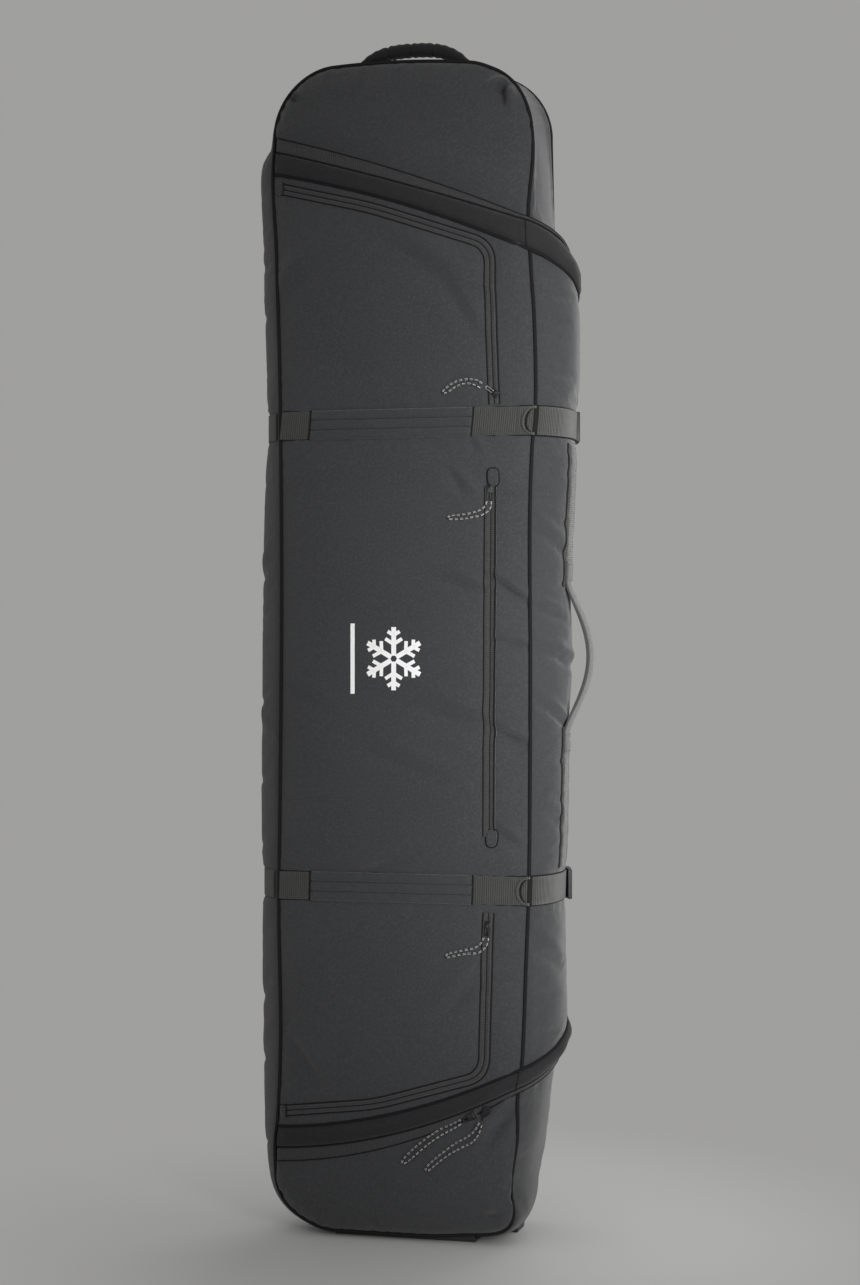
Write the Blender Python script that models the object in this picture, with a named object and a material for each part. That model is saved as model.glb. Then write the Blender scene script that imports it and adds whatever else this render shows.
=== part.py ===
"""A wheeled snowboard bag standing on its base, as separate named solids.

Metres, +Z up. The origin is the middle of the base's flat underside, the front (pocket) panel faces -Y
and +X is the viewer's right. The whole zipped front is one door that is sewn on along the left seam.
"""

import math

import bmesh
import bpy
from mathutils import Vector

# ---- Driving dimensions --------------------------------------------------------------------------
LENGTH = 1.610  # height of the front panel's top seam: a bag for boards of about 156 cm
BOTTOM_SEAM = 0.008
BASE_HALF = 0.170  # half the width between the seams, at the base
FLARE = 0.0088  # how much wider each side gets per metre of height
TOP_RADIUS = 0.086
BOTTOM_RADIUS = 0.070

# Side view as (height, y): the front is flat behind the door, the back has a heel cut for the wheels.
FRONT_PROFILE = ((0.0, -0.075), (0.25, -0.090), (1.30, -0.090), (1.61, -0.065))
BACK_PROFILE = ((0.0, 0.010), (0.12, 0.090), (1.20, 0.090), (1.61, 0.030))

PANEL = 0.0055  # thickness of a padded panel
WALL = 0.005  # thickness of a gusset
GAP = 0.0005
TOUCH = 0.0003  # gap between pieces that touch
STIFFENER_THICK = 0.004
STIFFENER_Y = BACK_PROFILE[2][1] - PANEL - TOUCH  # outer face of the board behind the back panel
RIM_STEPS = (0.0, 0.12, 0.30, 0.50, 0.70, 0.88, 1.0)  # the gusset's section, front to back
LEFT_BULGE = 0.031
DOOR_BULGE = ((0.20, 0.028), (1.35, 0.040))  # (height, bulge) of the right gusset
CAP_BULGE = 0.012
TOP_BULGE = 0.005
ZIP_END_BULGE = 0.020  # where the caps' gussets end at the zips
ZIP_GAP = 0.001  # between a zip tape and the panel beside it
TAPE_THICK = 0.003
CORNER_RUN, CORNER_DROP = 0.040, 0.011  # cut off the door's top left corner, which swings under the tape

WEBBING = 0.038
STRAP_HEIGHTS = {"upper": 1.119, "lower": 0.485}
STRAP_LIFT = 0.0018  # middle of the webbing above the panel
STRAP_THICK = 0.002

WHEEL_X = 0.116
WHEEL_Y, WHEEL_Z = 0.077, 0.034
WHEEL_RADIUS, WHEEL_WIDTH = 0.031, 0.024
HOUSING_WIDTH = 0.052
WELL_ROOM = 0.0025  # clearance round a wheel in its well
BEARING_OUTER, BEARING_BORE, BEARING_WIDTH = 0.011, 0.004, 0.007
RUNNING = 0.0003  # clearance between turned parts

HANDLE_Y = -0.018
SIDE_HANDLE_AHEAD = 0.013  # how far in front of the gusset's crown the side handle is sewn
CORD_RADIUS = 0.0013


# ---- Small geometry helpers ----------------------------------------------------------------------
def along(points, t):
    """The value at t of a line through (t, value) points; it runs on straight past both ends."""
    for (t0, v0), (t1, v1) in zip(points, points[1:]):
        if t <= t1:
            break
    return v0 + (v1 - v0) * (t - t0) / (t1 - t0)


def front_y(z):
    return along(FRONT_PROFILE, z)


def back_y(z):
    return along(BACK_PROFILE, z)


def half_width(z):
    return BASE_HALF + FLARE * z


def door_bulge(z):
    return along(DOOR_BULGE, z)


def rim_crown(g):
    """How far the gusset stands out, 0 to 1, from its front edge (g = 0) to its back edge (g = 1)."""
    return 1 - abs(2 * g - 1) ** 2.4


def offset_path(points, distance):
    """The 2-D polyline moved sideways, to the left of its direction, with mitred corners."""
    moved = []
    for i, point in enumerate(points):
        before = Vector(points[max(i - 1, 0)])
        after = Vector(points[min(i + 1, len(points) - 1)])
        here = Vector(point)
        normals = [
            Vector((-(b - a).y, (b - a).x)).normalized()
            for a, b in ((before, here), (here, after))
            if (b - a).length > 0
        ]
        mean = sum(normals, Vector((0, 0))) / len(normals)
        moved.append(here + mean * (distance / max(mean.length_squared, 0.3)))
    return moved


def filleted(points, radius, steps=4):
    """The 2-D polyline with each inner corner replaced by an arc."""
    path = [Vector(points[0])]
    for a, corner, b in zip(points, points[1:], points[2:]):
        corner = Vector(corner)
        u = (Vector(a) - corner).normalized()
        v = (Vector(b) - corner).normalized()
        half = u.angle(v) / 2
        centre = corner + (u + v).normalized() * (radius / math.sin(half))
        start = corner + u * (radius / math.tan(half)) - centre
        end = corner + v * (radius / math.tan(half)) - centre
        sweep = start.angle_signed(end)
        for i in range(steps + 1):
            turn = -sweep * i / steps
            spun = Vector(
                (
                    start.x * math.cos(turn) - start.y * math.sin(turn),
                    start.x * math.sin(turn) + start.y * math.cos(turn),
                )
            )
            path.append(centre + spun)
    path.append(Vector(points[-1]))
    return path


# ---- Objects -------------------------------------------------------------------------------------
def clear_scene():
    for obj in list(bpy.data.objects):
        bpy.data.objects.remove(obj)


def material(name, colour, roughness, metallic=0.0):
    found = bpy.data.materials.new(name)
    found.use_nodes = True
    shader = found.node_tree.nodes["Principled BSDF"]
    shader.inputs["Base Color"].default_value = (*colour, 1)
    shader.inputs["Roughness"].default_value = roughness
    shader.inputs["Metallic"].default_value = metallic
    found.diffuse_color = (*colour, 1)
    return found


def add_object(name, data, look):
    obj = bpy.data.objects.new(name, data)
    bpy.context.scene.collection.objects.link(obj)
    data.materials.append(look)
    return obj


def mesh_object(name, verts, faces, look):
    bm = bmesh.new()
    made = [bm.verts.new(v) for v in verts]
    for face in faces:
        bm.faces.new([made[i] for i in face])
    bmesh.ops.recalc_face_normals(bm, faces=bm.faces)
    data = bpy.data.meshes.new(name)
    bm.to_mesh(data)
    bm.free()
    return add_object(name, data, look)


def shell(name, outer, inner, look):
    """A closed wall between two grids of points with the same rows and columns."""
    rows, columns = len(outer), len(outer[0])
    verts = [p for grid in (outer, inner) for row in grid for p in row]

    def at(layer, i, j):
        return (layer * rows + i) * columns + j

    faces = []
    for i in range(rows - 1):
        for j in range(columns - 1):
            for layer in (0, 1):
                corners = [(i, j), (i + 1, j), (i + 1, j + 1), (i, j + 1)]
                faces.append([at(layer, a, b) for a, b in (corners if layer else corners[::-1])])
    edge = [(i, 0) for i in range(rows)] + [(rows - 1, j) for j in range(1, columns)]
    edge += [(i, columns - 1) for i in range(rows - 2, -1, -1)] + [(0, j) for j in range(columns - 2, 0, -1)]
    for a, b in zip(edge, edge[1:] + edge[:1]):
        faces.append([at(0, *a), at(0, *b), at(1, *b), at(1, *a)])
    return mesh_object(name, verts, faces, look)


def loft(name, loops, look, closed=False):
    """A solid through closed loops of points; closed joins the last loop to the first."""
    count = len(loops[0])
    verts = [p for loop in loops for p in loop]
    pairs = list(zip(range(len(loops)), range(1, len(loops))))
    if closed:
        pairs.append((len(loops) - 1, 0))
    faces = []
    for a, b in pairs:
        for j in range(count):
            k = (j + 1) % count
            faces.append([a * count + j, a * count + k, b * count + k, b * count + j])
    if not closed:
        faces.append(list(range(count))[::-1])
        faces.append([(len(loops) - 1) * count + j for j in range(count)])
    return mesh_object(name, verts, faces, look)


def plate(name, outline, outer_y, inner_y, look):
    """A panel with an (x, z) outline, whose two faces follow the side view."""
    bm = bmesh.new()
    bm.faces.new([bm.verts.new((x, 0, z)) for x, z in outline])
    for z in sorted({p[0] for p in FRONT_PROFILE + BACK_PROFILE}):
        geometry = bm.verts[:] + bm.edges[:] + bm.faces[:]
        bmesh.ops.bisect_plane(bm, geom=geometry, plane_co=(0, 0, z), plane_no=(0, 0, 1), dist=1e-6)
    bmesh.ops.triangulate(bm, faces=bm.faces)
    bm.verts.index_update()
    flat = [v.co.copy() for v in bm.verts]
    count = len(flat)
    verts = [(p.x, y_at(p.z), p.z) for y_at in (outer_y, inner_y) for p in flat]
    faces = []
    for face in bm.faces:
        corners = [v.index for v in face.verts]
        faces.append(corners)
        faces.append([i + count for i in corners[::-1]])
    for edge in bm.edges:
        if edge.is_boundary:
            a, b = (v.index for v in edge.verts)
            faces.append([a, b, b + count, a + count])
    bm.free()
    return mesh_object(name, verts, faces, look)


def front_plate(name, outline, look, thick=PANEL):
    """A panel whose outer face lies in the front plane."""
    return plate(name, outline, front_y, lambda z: front_y(z) + thick, look)


def laid_plate(name, outline, look, lift, thick):
    """A flat piece that lies on the front, its inner face a lift above the front plane."""
    return plate(name, outline, lambda z: front_y(z) - lift - thick, lambda z: front_y(z) - lift, look)


def block(name, low, high, look, bevel=0.0):
    low, high = Vector(low), Vector(high)
    bm = bmesh.new()
    bmesh.ops.create_cube(bm, size=1.0)
    size = high - low
    for v in bm.verts:
        v.co = Vector((v.co.x * size.x, v.co.y * size.y, v.co.z * size.z))
    data = bpy.data.meshes.new(name)
    bm.to_mesh(data)
    bm.free()
    obj = add_object(name, data, look)
    obj.location = (low + high) / 2
    if bevel:
        rounding = obj.modifiers.new("rounding", "BEVEL")
        rounding.width = bevel
        rounding.segments = 2
    return obj


def turned(name, profile, centre, look, steps=24):
    """A ring or shaft about a line along X: profile is a closed loop of (x, radius) from the centre."""
    loops = []
    for i in range(steps):
        angle = 2 * math.pi * i / steps
        loops.append(
            [
                (centre[0] + x, centre[1] + r * math.cos(angle), centre[2] + r * math.sin(angle))
                for x, r in profile
            ]
        )
    return loft(name, loops, look, closed=True)


def cut(obj, cutter):
    cutter.hide_render = True
    cutter.display_type = "WIRE"
    hole = obj.modifiers.new("cut " + cutter.name, "BOOLEAN")
    hole.operation = "DIFFERENCE"
    hole.object = cutter


def pivot(name, position, members):
    """An empty on a joint's axis, which carries the pieces that turn or slide with it."""
    empty = bpy.data.objects.new(name, None)
    empty.empty_display_size = 0.05
    empty.location = position
    bpy.context.scene.collection.objects.link(empty)
    bpy.context.view_layer.update()
    for member in members:
        member.parent = empty
        member.matrix_parent_inverse = empty.matrix_world.inverted()
    return empty


# ---- The zip lines on the front, as heights at x -------------------------------------------------
def from_left(x):
    return x + half_width(LENGTH)


def upper_zip(x):
    """Top edge of the door: the line that the upper roll hides."""
    s = from_left(x)
    return 1.501 - 0.26 * s - 0.14 * s * s


def upper_roll_foot(x):
    s = from_left(x)
    return 1.471 - 0.20 * s - 0.35 * s * s


def upper_tape_top(x):
    return upper_zip(x) + 0.020 - 0.110 * from_left(x) ** 2


def lower_zip(x):
    s = from_left(x)
    return 0.117 + 0.03 * s + 0.68 * s * s


def lower_roll_top(x):
    s = from_left(x)
    return 0.150 + 0.03 * s + 0.66 * s * s


def lower_tape_foot(x):
    return lower_zip(x) - 0.019 + 0.100 * from_left(x) ** 2


UPPER_FALL, LOWER_RISE = -0.50, 0.40  # slope of the zip lines on the gusset, per metre of depth


def seam_height(line):
    """Height at which a front line meets the right seam."""
    z = line(BASE_HALF)
    for _ in range(4):
        z = line(half_width(z))
    return z


# ---- Stations around the rim ---------------------------------------------------------------------
def side_station(sign, z_front, slope=0.0):
    """On a side: the height changes with depth by the slope."""

    def at(g):
        z = z_front + slope * g * (back_y(z_front) - front_y(z_front))
        return sign * half_width(z), z, sign, 0.0

    return at


def corner_station(sign, top, degrees):
    """On a rounded corner: 0 degrees is the side, 90 the top or bottom."""
    radius = TOP_RADIUS if top else BOTTOM_RADIUS
    turn = math.radians(degrees)
    up = 1 if top else -1
    centre = LENGTH - radius if top else BOTTOM_SEAM + radius
    z = centre + up * radius * math.sin(turn)
    x = half_width(z) - radius * (1 - math.cos(turn))

    def at(g):
        return sign * x, z, sign * math.cos(turn), up * math.sin(turn)

    return at


def end_station(x, top):
    z = LENGTH if top else BOTTOM_SEAM

    def at(g):
        return x, z, 0.0, 1.0 if top else -1.0

    return at


def rim_point(station, g, bulge, inward=0.0):
    x, z, nx, nz = station(g)
    first, last = front_y(z) + PANEL + GAP, back_y(z) - PANEL - GAP
    out = bulge * rim_crown(g) - inward
    return (x + nx * out, first + (last - first) * g, z + nz * out)


def rim(name, stations, look, steps=RIM_STEPS):
    """A gusset piece through (station, bulge) pairs."""
    outer = [[rim_point(s, g, bulge) for g in steps] for s, bulge in stations]
    inner = [[rim_point(s, g, bulge, WALL) for g in steps] for s, bulge in stations]
    return shell(name, outer, inner, look)


def corner_outline(sign, top, steps=6):
    """(x, z) points of the seam round a corner, from the side to the end."""
    points = []
    for i in range(steps + 1):
        x, z, _, _ = corner_station(sign, top, 90 * i / steps)(0)
        points.append((x, z))
    return points


# ---- Body panels ---------------------------------------------------------------------------------
def across(line, steps, inset=0.0):
    """(x, z) points of a front line from the left seam to the right one."""
    points = []
    for i in range(steps + 1):
        fraction = i / steps
        z = line(0)
        for _ in range(4):
            x = (2 * fraction - 1) * (half_width(z) - inset)
            z = line(x)
        points.append((x, z))
    return points


def body_panels(looks):
    fabric, plastic = looks["shell_fabric"], looks["base_plastic"]
    top = corner_outline(1, True) + corner_outline(-1, True)[::-1]
    front_plate("upper_cap_panel", across(lambda x: upper_tape_top(x) + 0.001, 8) + top, fabric)
    bottom = corner_outline(-1, False) + corner_outline(1, False)[::-1]
    lower_edge = across(lambda x: lower_tape_foot(x) - 0.001, 8)
    front_plate("lower_cap_panel", bottom + lower_edge[::-1], fabric)

    heel = BACK_PROFILE[1][0]
    back = [(-half_width(heel), heel + GAP), (half_width(heel), heel + GAP)] + top
    plate("back_panel", back, back_y, lambda z: back_y(z) - PANEL, looks["back_fabric"])
    skid = bottom + [(half_width(heel), heel - GAP), (-half_width(heel), heel - GAP)]
    plate("skid_plate", skid, back_y, lambda z: back_y(z) - PANEL, plastic)

    inset, low, high = 0.012, heel + 0.02, BACK_PROFILE[2][0] - 0.01
    board = [
        (-half_width(low) + inset, low),
        (half_width(low) - inset, low),
        (half_width(high) - inset, high),
        (-half_width(high) + inset, high),
    ]
    inner_y = STIFFENER_Y - STIFFENER_THICK
    plate("back_stiffener", board, lambda z: STIFFENER_Y, lambda z: inner_y, looks["stiffener"])


def body_rim(looks):
    fabric = looks["gusset_fabric"]
    side_low, side_high = BOTTOM_SEAM + BOTTOM_RADIUS + GAP, LENGTH - TOP_RADIUS - GAP
    levels = (
        (side_low, CAP_BULGE),
        (BACK_PROFILE[1][0], ZIP_END_BULGE),
        (FRONT_PROFILE[1][0], LEFT_BULGE),
        (0.70, LEFT_BULGE),
        (BACK_PROFILE[2][0], LEFT_BULGE),
        (FRONT_PROFILE[2][0], 0.025),
        (side_high, CAP_BULGE),
    )
    rim("left_gusset", [(side_station(-1, z), bulge) for z, bulge in levels], fabric)

    rim("upper_left_corner", corner_stations(-1, True), fabric)
    cut_height = seam_height(upper_tape_top) + ZIP_GAP
    right = [
        (side_station(1, cut_height, UPPER_FALL), ZIP_END_BULGE),
        (side_station(1, 1.46, UPPER_FALL / 2), (ZIP_END_BULGE + CAP_BULGE) / 2),
    ]
    rim("upper_right_corner", right + corner_stations(1, True), fabric)
    top_end = half_width(LENGTH) - TOP_RADIUS - GAP
    rim("top_gusset", [(end_station(x, True), TOP_BULGE) for x in (-top_end, 0, top_end)], fabric)

    rim("lower_left_corner", corner_stations(-1, False), fabric)
    cut_height = seam_height(lower_tape_foot) - ZIP_GAP
    right = [
        (side_station(1, cut_height, LOWER_RISE), ZIP_END_BULGE),
        (side_station(1, 0.15, LOWER_RISE / 2), (ZIP_END_BULGE + CAP_BULGE) / 2),
    ]
    rim("lower_right_corner", right + corner_stations(1, False), fabric)
    base_tub(looks["base_plastic"])


def corner_stations(sign, top):
    """(station, bulge) pairs round a corner, from the side to the end."""
    end_bulge = TOP_BULGE if top else BOTTOM_SEAM
    steps = 6
    return [
        (corner_station(sign, top, 90 * i / steps), CAP_BULGE + (end_bulge - CAP_BULGE) * i / steps)
        for i in range(steps + 1)
    ]


def base_tub(look):
    """The moulded bottom, with the flat underside that the bag stands on."""
    end = half_width(BOTTOM_SEAM) - BOTTOM_RADIUS - GAP
    first = front_y(BOTTOM_SEAM) + PANEL + GAP
    last = back_y(BOTTOM_SEAM) - PANEL - GAP
    lower = [(first, BOTTOM_SEAM), (first + 0.010, 0.0), (last - 0.004, 0.0), (last, BOTTOM_SEAM)]
    upper = [(y, z + WALL) for y, z in lower]
    outer = [[(x, y, z) for y, z in lower] for x in (-end, end)]
    inner = [[(x, y, z) for y, z in upper] for x in (-end, end)]
    shell("base_tub", outer, inner, look)


def zip_tapes(looks):
    tape = looks["zip_tape"]
    upper = across(lambda x: upper_zip(x) + ZIP_GAP, 8) + across(upper_tape_top, 8)[::-1]
    front_plate("upper_zip_tape", upper, tape, TAPE_THICK)
    lower = across(lower_tape_foot, 8) + across(lambda x: lower_zip(x) - ZIP_GAP, 8)[::-1]
    front_plate("lower_zip_tape", lower, tape, TAPE_THICK)
    steps = (0.955, 0.985)
    low, high, rows = 0.31, 1.20, 8
    outer, inner = [], []
    for i in range(rows + 1):
        z = low + (high - low) * i / rows
        station = side_station(1, z)
        outer.append([rim_point(station, g, door_bulge(z), GAP) for g in steps])
        inner.append([rim_point(station, g, door_bulge(z), GAP + TAPE_THICK) for g in steps])
    shell("side_zip_tape", outer, inner, tape)


# ---- Door ----------------------------------------------------------------------------------------
def door_panels(looks):
    outline = across(lower_zip, 8, inset=0.0006) + across(upper_zip, 8, inset=0.0006)[::-1]
    left, top = outline.pop()
    outline += [(left + CORNER_RUN, upper_zip(left + CORNER_RUN)), (left, top - CORNER_DROP)]
    panel = front_plate("door_panel", outline, looks["shell_fabric"])
    low, high = seam_height(lower_zip), seam_height(upper_zip)
    rows = 10
    stations = []
    for i in range(rows + 1):
        t = i / rows
        z = low + (high - low) * t
        stations.append((side_station(1, z, LOWER_RISE + (UPPER_FALL - LOWER_RISE) * t), door_bulge(z)))
    steps = [g for g in RIM_STEPS if g < 0.9] + [0.94]
    gusset = rim("door_gusset", stations, looks["gusset_fabric"], steps)
    return [panel, gusset]


def gusset_section(z, lift):
    """(x, y) points of the right gusset's section at height z, lifted off its surface."""
    points = []
    for g in RIM_STEPS:
        x, y, _ = rim_point(side_station(1, z), g, door_bulge(z))
        points.append((x, y))
    return offset_path(points, -lift) if lift else [Vector(p) for p in points]


def door_roll(name, first_line, second_line, slope, look):
    """The padded welt along a zip: over the front, round the seam and down the gusset."""
    low, mid, high = 0.0007, 0.006, 0.0105  # lift of the welt's edge, shoulder and crown
    section = ((0.0, low), (0.10, mid), (0.32, high), (0.68, high), (0.90, mid), (1.0, low))
    loops = []
    steps = 9
    for i in range(steps + 1):
        fraction = i / steps
        ends = []
        for line in (first_line, second_line):
            z = seam_height(line)
            x = (2 * fraction - 1) * (half_width(z) - 0.003) + (0.006 if i == 0 else 0.0)
            ends.append((x, line(x)))
        loops.append([front_point(ends, w, lift) for w, lift in section])
    heights = [seam_height(first_line), seam_height(second_line)]
    loops.append([seam_point(heights, w, lift) for w, lift in section])
    for step, g in enumerate(RIM_STEPS[:-1]):
        loops.append([side_point(heights, slope, step, g, w, lift) for w, lift in section])
    return loft(name, loops, look)


def front_point(ends, w, lift):
    (x0, z0), (x1, z1) = ends
    z = z0 + (z1 - z0) * w
    return (x0 + (x1 - x0) * w, front_y(z) - lift, z)


def seam_point(heights, w, lift):
    z = heights[0] + (heights[1] - heights[0]) * w
    return (half_width(z) + lift, front_y(z) - lift, z)


def side_point(heights, slope, step, g, w, lift):
    z = heights[0] + (heights[1] - heights[0]) * w
    z += slope * g * (back_y(z) - front_y(z))
    x, y = gusset_section(z, lift + 0.0006)[step]
    return (x, y, z)


POCKET_CORNER = 0.035
UPPER_POCKET_ROUTE = ((-0.172, 1.449), (0.118, 1.364), (0.136, 1.142))
MIDDLE_POCKET_ROUTE = ((0.1285, 0.542), (0.1285, 1.055))
LOWER_POCKET_ROUTE = ((-0.164, 0.172), (0.1155, 0.2296), (0.1265, 0.455))


def pocket_zips(looks):
    """The three pocket zips, as flat tapes on the door's face."""
    tape = looks["zip_tape"]
    routes = {
        "upper_pocket_zip": (filleted(UPPER_POCKET_ROUTE, POCKET_CORNER), 0.0065),
        "middle_pocket_zip": (MIDDLE_POCKET_ROUTE, 0.0085),
        "lower_pocket_zip": (filleted(LOWER_POCKET_ROUTE, POCKET_CORNER), 0.0065),
    }
    made = []
    for name, (route, half) in routes.items():
        outline = offset_path(route, half) + offset_path(route, -half)[::-1]
        made.append(laid_plate(name, [tuple(p) for p in outline], tape, 0.0004, 0.0016))
    return made


def buckle_frame(z):
    """Where the buckle seats, which way it slides home and which way is out: square to the door's swing."""
    seat = Vector(gusset_section(z, 0.0075)[4])
    hinge = Vector((-half_width(z), front_y(z)))
    out = (seat - hinge).normalized()
    return seat, Vector((-out.y, out.x)), out


def buckle_block(name, z, run, half_thick, height, look):
    """A box in the buckle's own directions: run along its slide, half_thick to both sides across it."""
    seat, home, out = buckle_frame(z)
    corners = [(run[0], -half_thick), (run[1], -half_thick), (run[1], half_thick), (run[0], half_thick)]
    loops = [
        [(*(seat + home * a + out * b), z + dz) for a, b in corners] for dz in (-height / 2, height / 2)
    ]
    return loft(name, loops, look)


def ribbon(name, path, z, look, width=WEBBING, thick=STRAP_THICK):
    """Webbing on edge: a band of the given height that follows an (x, y) path."""
    sides = offset_path(path, thick / 2) + offset_path(path, -thick / 2)[::-1]
    count = len(path)
    verts = [(p.x, p.y, z + dz) for dz in (-width / 2, width / 2) for p in sides]
    ring = 2 * count
    faces = []
    for i in range(count - 1):
        a, b, c, d = i, i + 1, ring - 2 - i, ring - 1 - i
        faces.append([a, b, c, d])
        faces.append([j + ring for j in (d, c, b, a)])
    for i in range(ring):
        j = (i + 1) % ring
        faces.append([i, j, j + ring, i + ring])
    return mesh_object(name, verts, faces, look)


def front_straps(looks):
    """Each compression strap's front part, its padded wrap and its half of the buckle."""
    made = []
    for level, z in STRAP_HEIGHTS.items():
        edge, face = half_width(z), front_y(z)
        path = [(-edge + 0.007, face - STRAP_LIFT), (edge - 0.001, face - STRAP_LIFT)]
        path += [(edge + STRAP_LIFT, face - STRAP_LIFT * 0.5)]
        path += [tuple(p) for p in gusset_section(z, STRAP_LIFT)[1:4]]
        made.append(ribbon(level + "_front_strap", path, z, looks["webbing"]))
        low = (-0.127, face - 0.0105, z - WEBBING / 2 - 0.0005)
        high = (0.104, face - STRAP_LIFT - STRAP_THICK / 2 - 0.0004, z + WEBBING / 2 + 0.0005)
        made.append(block(level + "_strap_pad", low, high, looks["gusset_fabric"], bevel=0.0025))
        made.append(buckle_clip(level, z, looks["buckle_plastic"]))
    return made


def buckle_clip(level, z, look):
    """The clip's body and its tongue, as one stepped solid."""
    seat, home, out = buckle_frame(z)
    body, tongue = (0.020, 0.003), (0.0145, 0.0017)
    runs = [(-0.016, body), (0.003, body), (0.003, tongue), (0.015, tongue)]
    loops = []
    for run, (half_height, half_thick) in runs:
        base = seat + home * run
        loops.append(
            [
                (*(base + out * a * half_thick), z + b * half_height)
                for a, b in ((-1, -1), (1, -1), (1, 1), (-1, 1))
            ]
        )
    return loft(level + "_buckle_clip", loops, look)


def side_handle(looks):
    """A webbing strip sewn down the gusset's crown and the bow of webbing that is the handle."""
    middle = RIM_STEPS[3]
    strip_low, strip_high = 0.512, 1.092
    reach = WEBBING / 2 - 0.001
    outer, inner = [], []
    for i in range(9):
        z = strip_low + (strip_high - strip_low) * i / 8
        rows = []
        for lift in (0.0028, 0.0008):
            before, crown, after = gusset_section(z, lift)[2:5]
            ahead = crown + (before - crown).normalized() * (reach + SIDE_HANDLE_AHEAD)
            behind = crown + (after - crown).normalized() * (reach - SIDE_HANDLE_AHEAD)
            rows.append([ahead, crown, behind])
        outer.append([(p.x, p.y, z) for p in rows[0]])
        inner.append([(p.x, p.y, z) for p in rows[1]])
    strip = shell("side_handle_strip", outer, inner, looks["webbing"])

    low, high, half_thick = 0.695, 0.905, 0.00125
    loops = []
    steps = 16
    for i in range(steps + 1):
        t = i / steps
        z = low + (high - low) * t
        x, y, _ = rim_point(side_station(1, z), middle, door_bulge(z))
        y -= SIDE_HANDLE_AHEAD
        bow = 0.0048 + 0.033 * math.sin(math.pi * t) ** 1.25
        loops.append(
            [
                (x + bow + a * half_thick, y + b * WEBBING / 2, z + 0.003 * math.cos(math.pi * t))
                for a, b in ((-1, -1), (1, -1), (1, 1), (-1, 1))
            ]
        )
    return [strip, loft("side_handle", loops, looks["webbing"])]


# ---- Straps and handle on the body ---------------------------------------------------------------
def rear_straps(looks):
    for level, z in STRAP_HEIGHTS.items():
        seat, home, _ = buckle_frame(z)
        edge, back = half_width(z), back_y(z)
        tail = seat + home * 0.0375  # just past the socket
        round_corner = ((edge + 0.0035, back + 0.0030), (edge - 0.004, back + STRAP_LIFT + 0.0006))
        path = [tuple(tail), *round_corner, *((-x, y) for x, y in round_corner[::-1])]
        left = []
        for g in RIM_STEPS[-2:0:-1] + (RIM_STEPS[1] / 2,):
            x, y, _ = rim_point(side_station(-1, z), g, LEFT_BULGE)
            left.append((x, y))
        path += [tuple(p) for p in offset_path(left, -STRAP_LIFT - 0.0006)]
        ribbon(level + "_rear_strap", path, z, looks["webbing"])
        plastic = looks["buckle_plastic"]
        socket = buckle_block(level + "_buckle_socket", z, (0.0035, 0.0360), 0.0045, 0.042, plastic)
        slot = buckle_block(level + "_socket_slot", z, (0.0, 0.0165), 0.0024, 0.0305, plastic)
        cut(socket, slot)


def inner_straps(looks):
    face = STIFFENER_Y - STIFFENER_THICK
    for level, z in {"upper": 1.02, "lower": 0.42}.items():
        half = half_width(z) - 0.014
        low, high = (-half, face - 0.0025, z - 0.0125), (half, face - 0.0004, z + 0.0125)
        block(level + "_tie_down", low, high, looks["webbing"])


def top_handle(looks):
    """A padded arch on a webbing strip that is sewn across the top gusset."""
    crown = LENGTH + TOP_BULGE
    half_length, half_depth = 0.088, 0.014
    low = (-half_length, HANDLE_Y - half_depth, crown + 0.0004)
    high = (half_length, HANDLE_Y + half_depth, crown + 0.0024)
    block("top_handle_base", low, high, looks["webbing"])
    # (x, height of the middle, half depth, half height) from one end to the crown
    half_arch = (
        (0.080, 0.0075, 0.0045, 0.0030),
        (0.070, 0.0125, 0.0080, 0.0055),
        (0.056, 0.0200, 0.0115, 0.0080),
        (0.036, 0.0265, 0.0130, 0.0090),
        (0.016, 0.0290, 0.0130, 0.0090),
        (0.0, 0.0295, 0.0130, 0.0090),
    )
    arch = [(-x, *rest) for x, *rest in half_arch] + list(half_arch[-2::-1])
    loops = []
    for x, height, deep, tall in arch:
        loops.append(
            [
                (x, HANDLE_Y + deep * math.cos(a), crown + height + tall * math.sin(a))
                for a in (2 * math.pi * k / 12 for k in range(12))
            ]
        )
    handle = loft("top_handle", loops, looks["gusset_fabric"])
    pivot("top_handle_pivot", (0, HANDLE_Y, crown + 0.0075), [handle])


# ---- Wheels --------------------------------------------------------------------------------------
def housing(side, sign, looks):
    """Cheeks on both sides of the wheel, a foot in front of it and a web against the skid plate."""
    (_, heel_y), (heel_z, back) = BACK_PROFILE[:2]
    slope = (back - heel_y) / heel_z
    lean = GAP * math.hypot(1, slope)
    foot_y, rear_y, top = 0.052, 0.094, 0.118
    outline = [(heel_y + lean, 0.0), (foot_y, 0.0), (rear_y, foot_y), (rear_y, top)]
    outline.append((heel_y + lean + slope * top, top))
    faces = [sign * (WHEEL_X + edge * HOUSING_WIDTH / 2) for edge in (-1, 1)]
    loops = [[(x, y, z) for y, z in outline] for x in faces]
    body = loft(side + "_wheel_housing", loops, looks["base_plastic"])
    centre = (sign * WHEEL_X, WHEEL_Y, WHEEL_Z)
    well = ("well", WHEEL_WIDTH / 2 + WELL_ROOM, WHEEL_RADIUS + WELL_ROOM)
    hole = ("axle_hole", HOUSING_WIDTH, BEARING_BORE + 0.0002)
    for name, reach, radius in (well, hole):
        ends = [ring_points(centre, x, radius, 32) for x in (-reach, reach)]
        cut(body, loft(f"{side}_{name}", ends, looks["base_plastic"]))


def ring_points(centre, x, radius, count):
    """A circle of points about a line along X through the centre."""
    turns = [2 * math.pi * k / count for k in range(count)]
    cx, cy, cz = centre
    return [(cx + x, cy + radius * math.cos(a), cz + radius * math.sin(a)) for a in turns]


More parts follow.
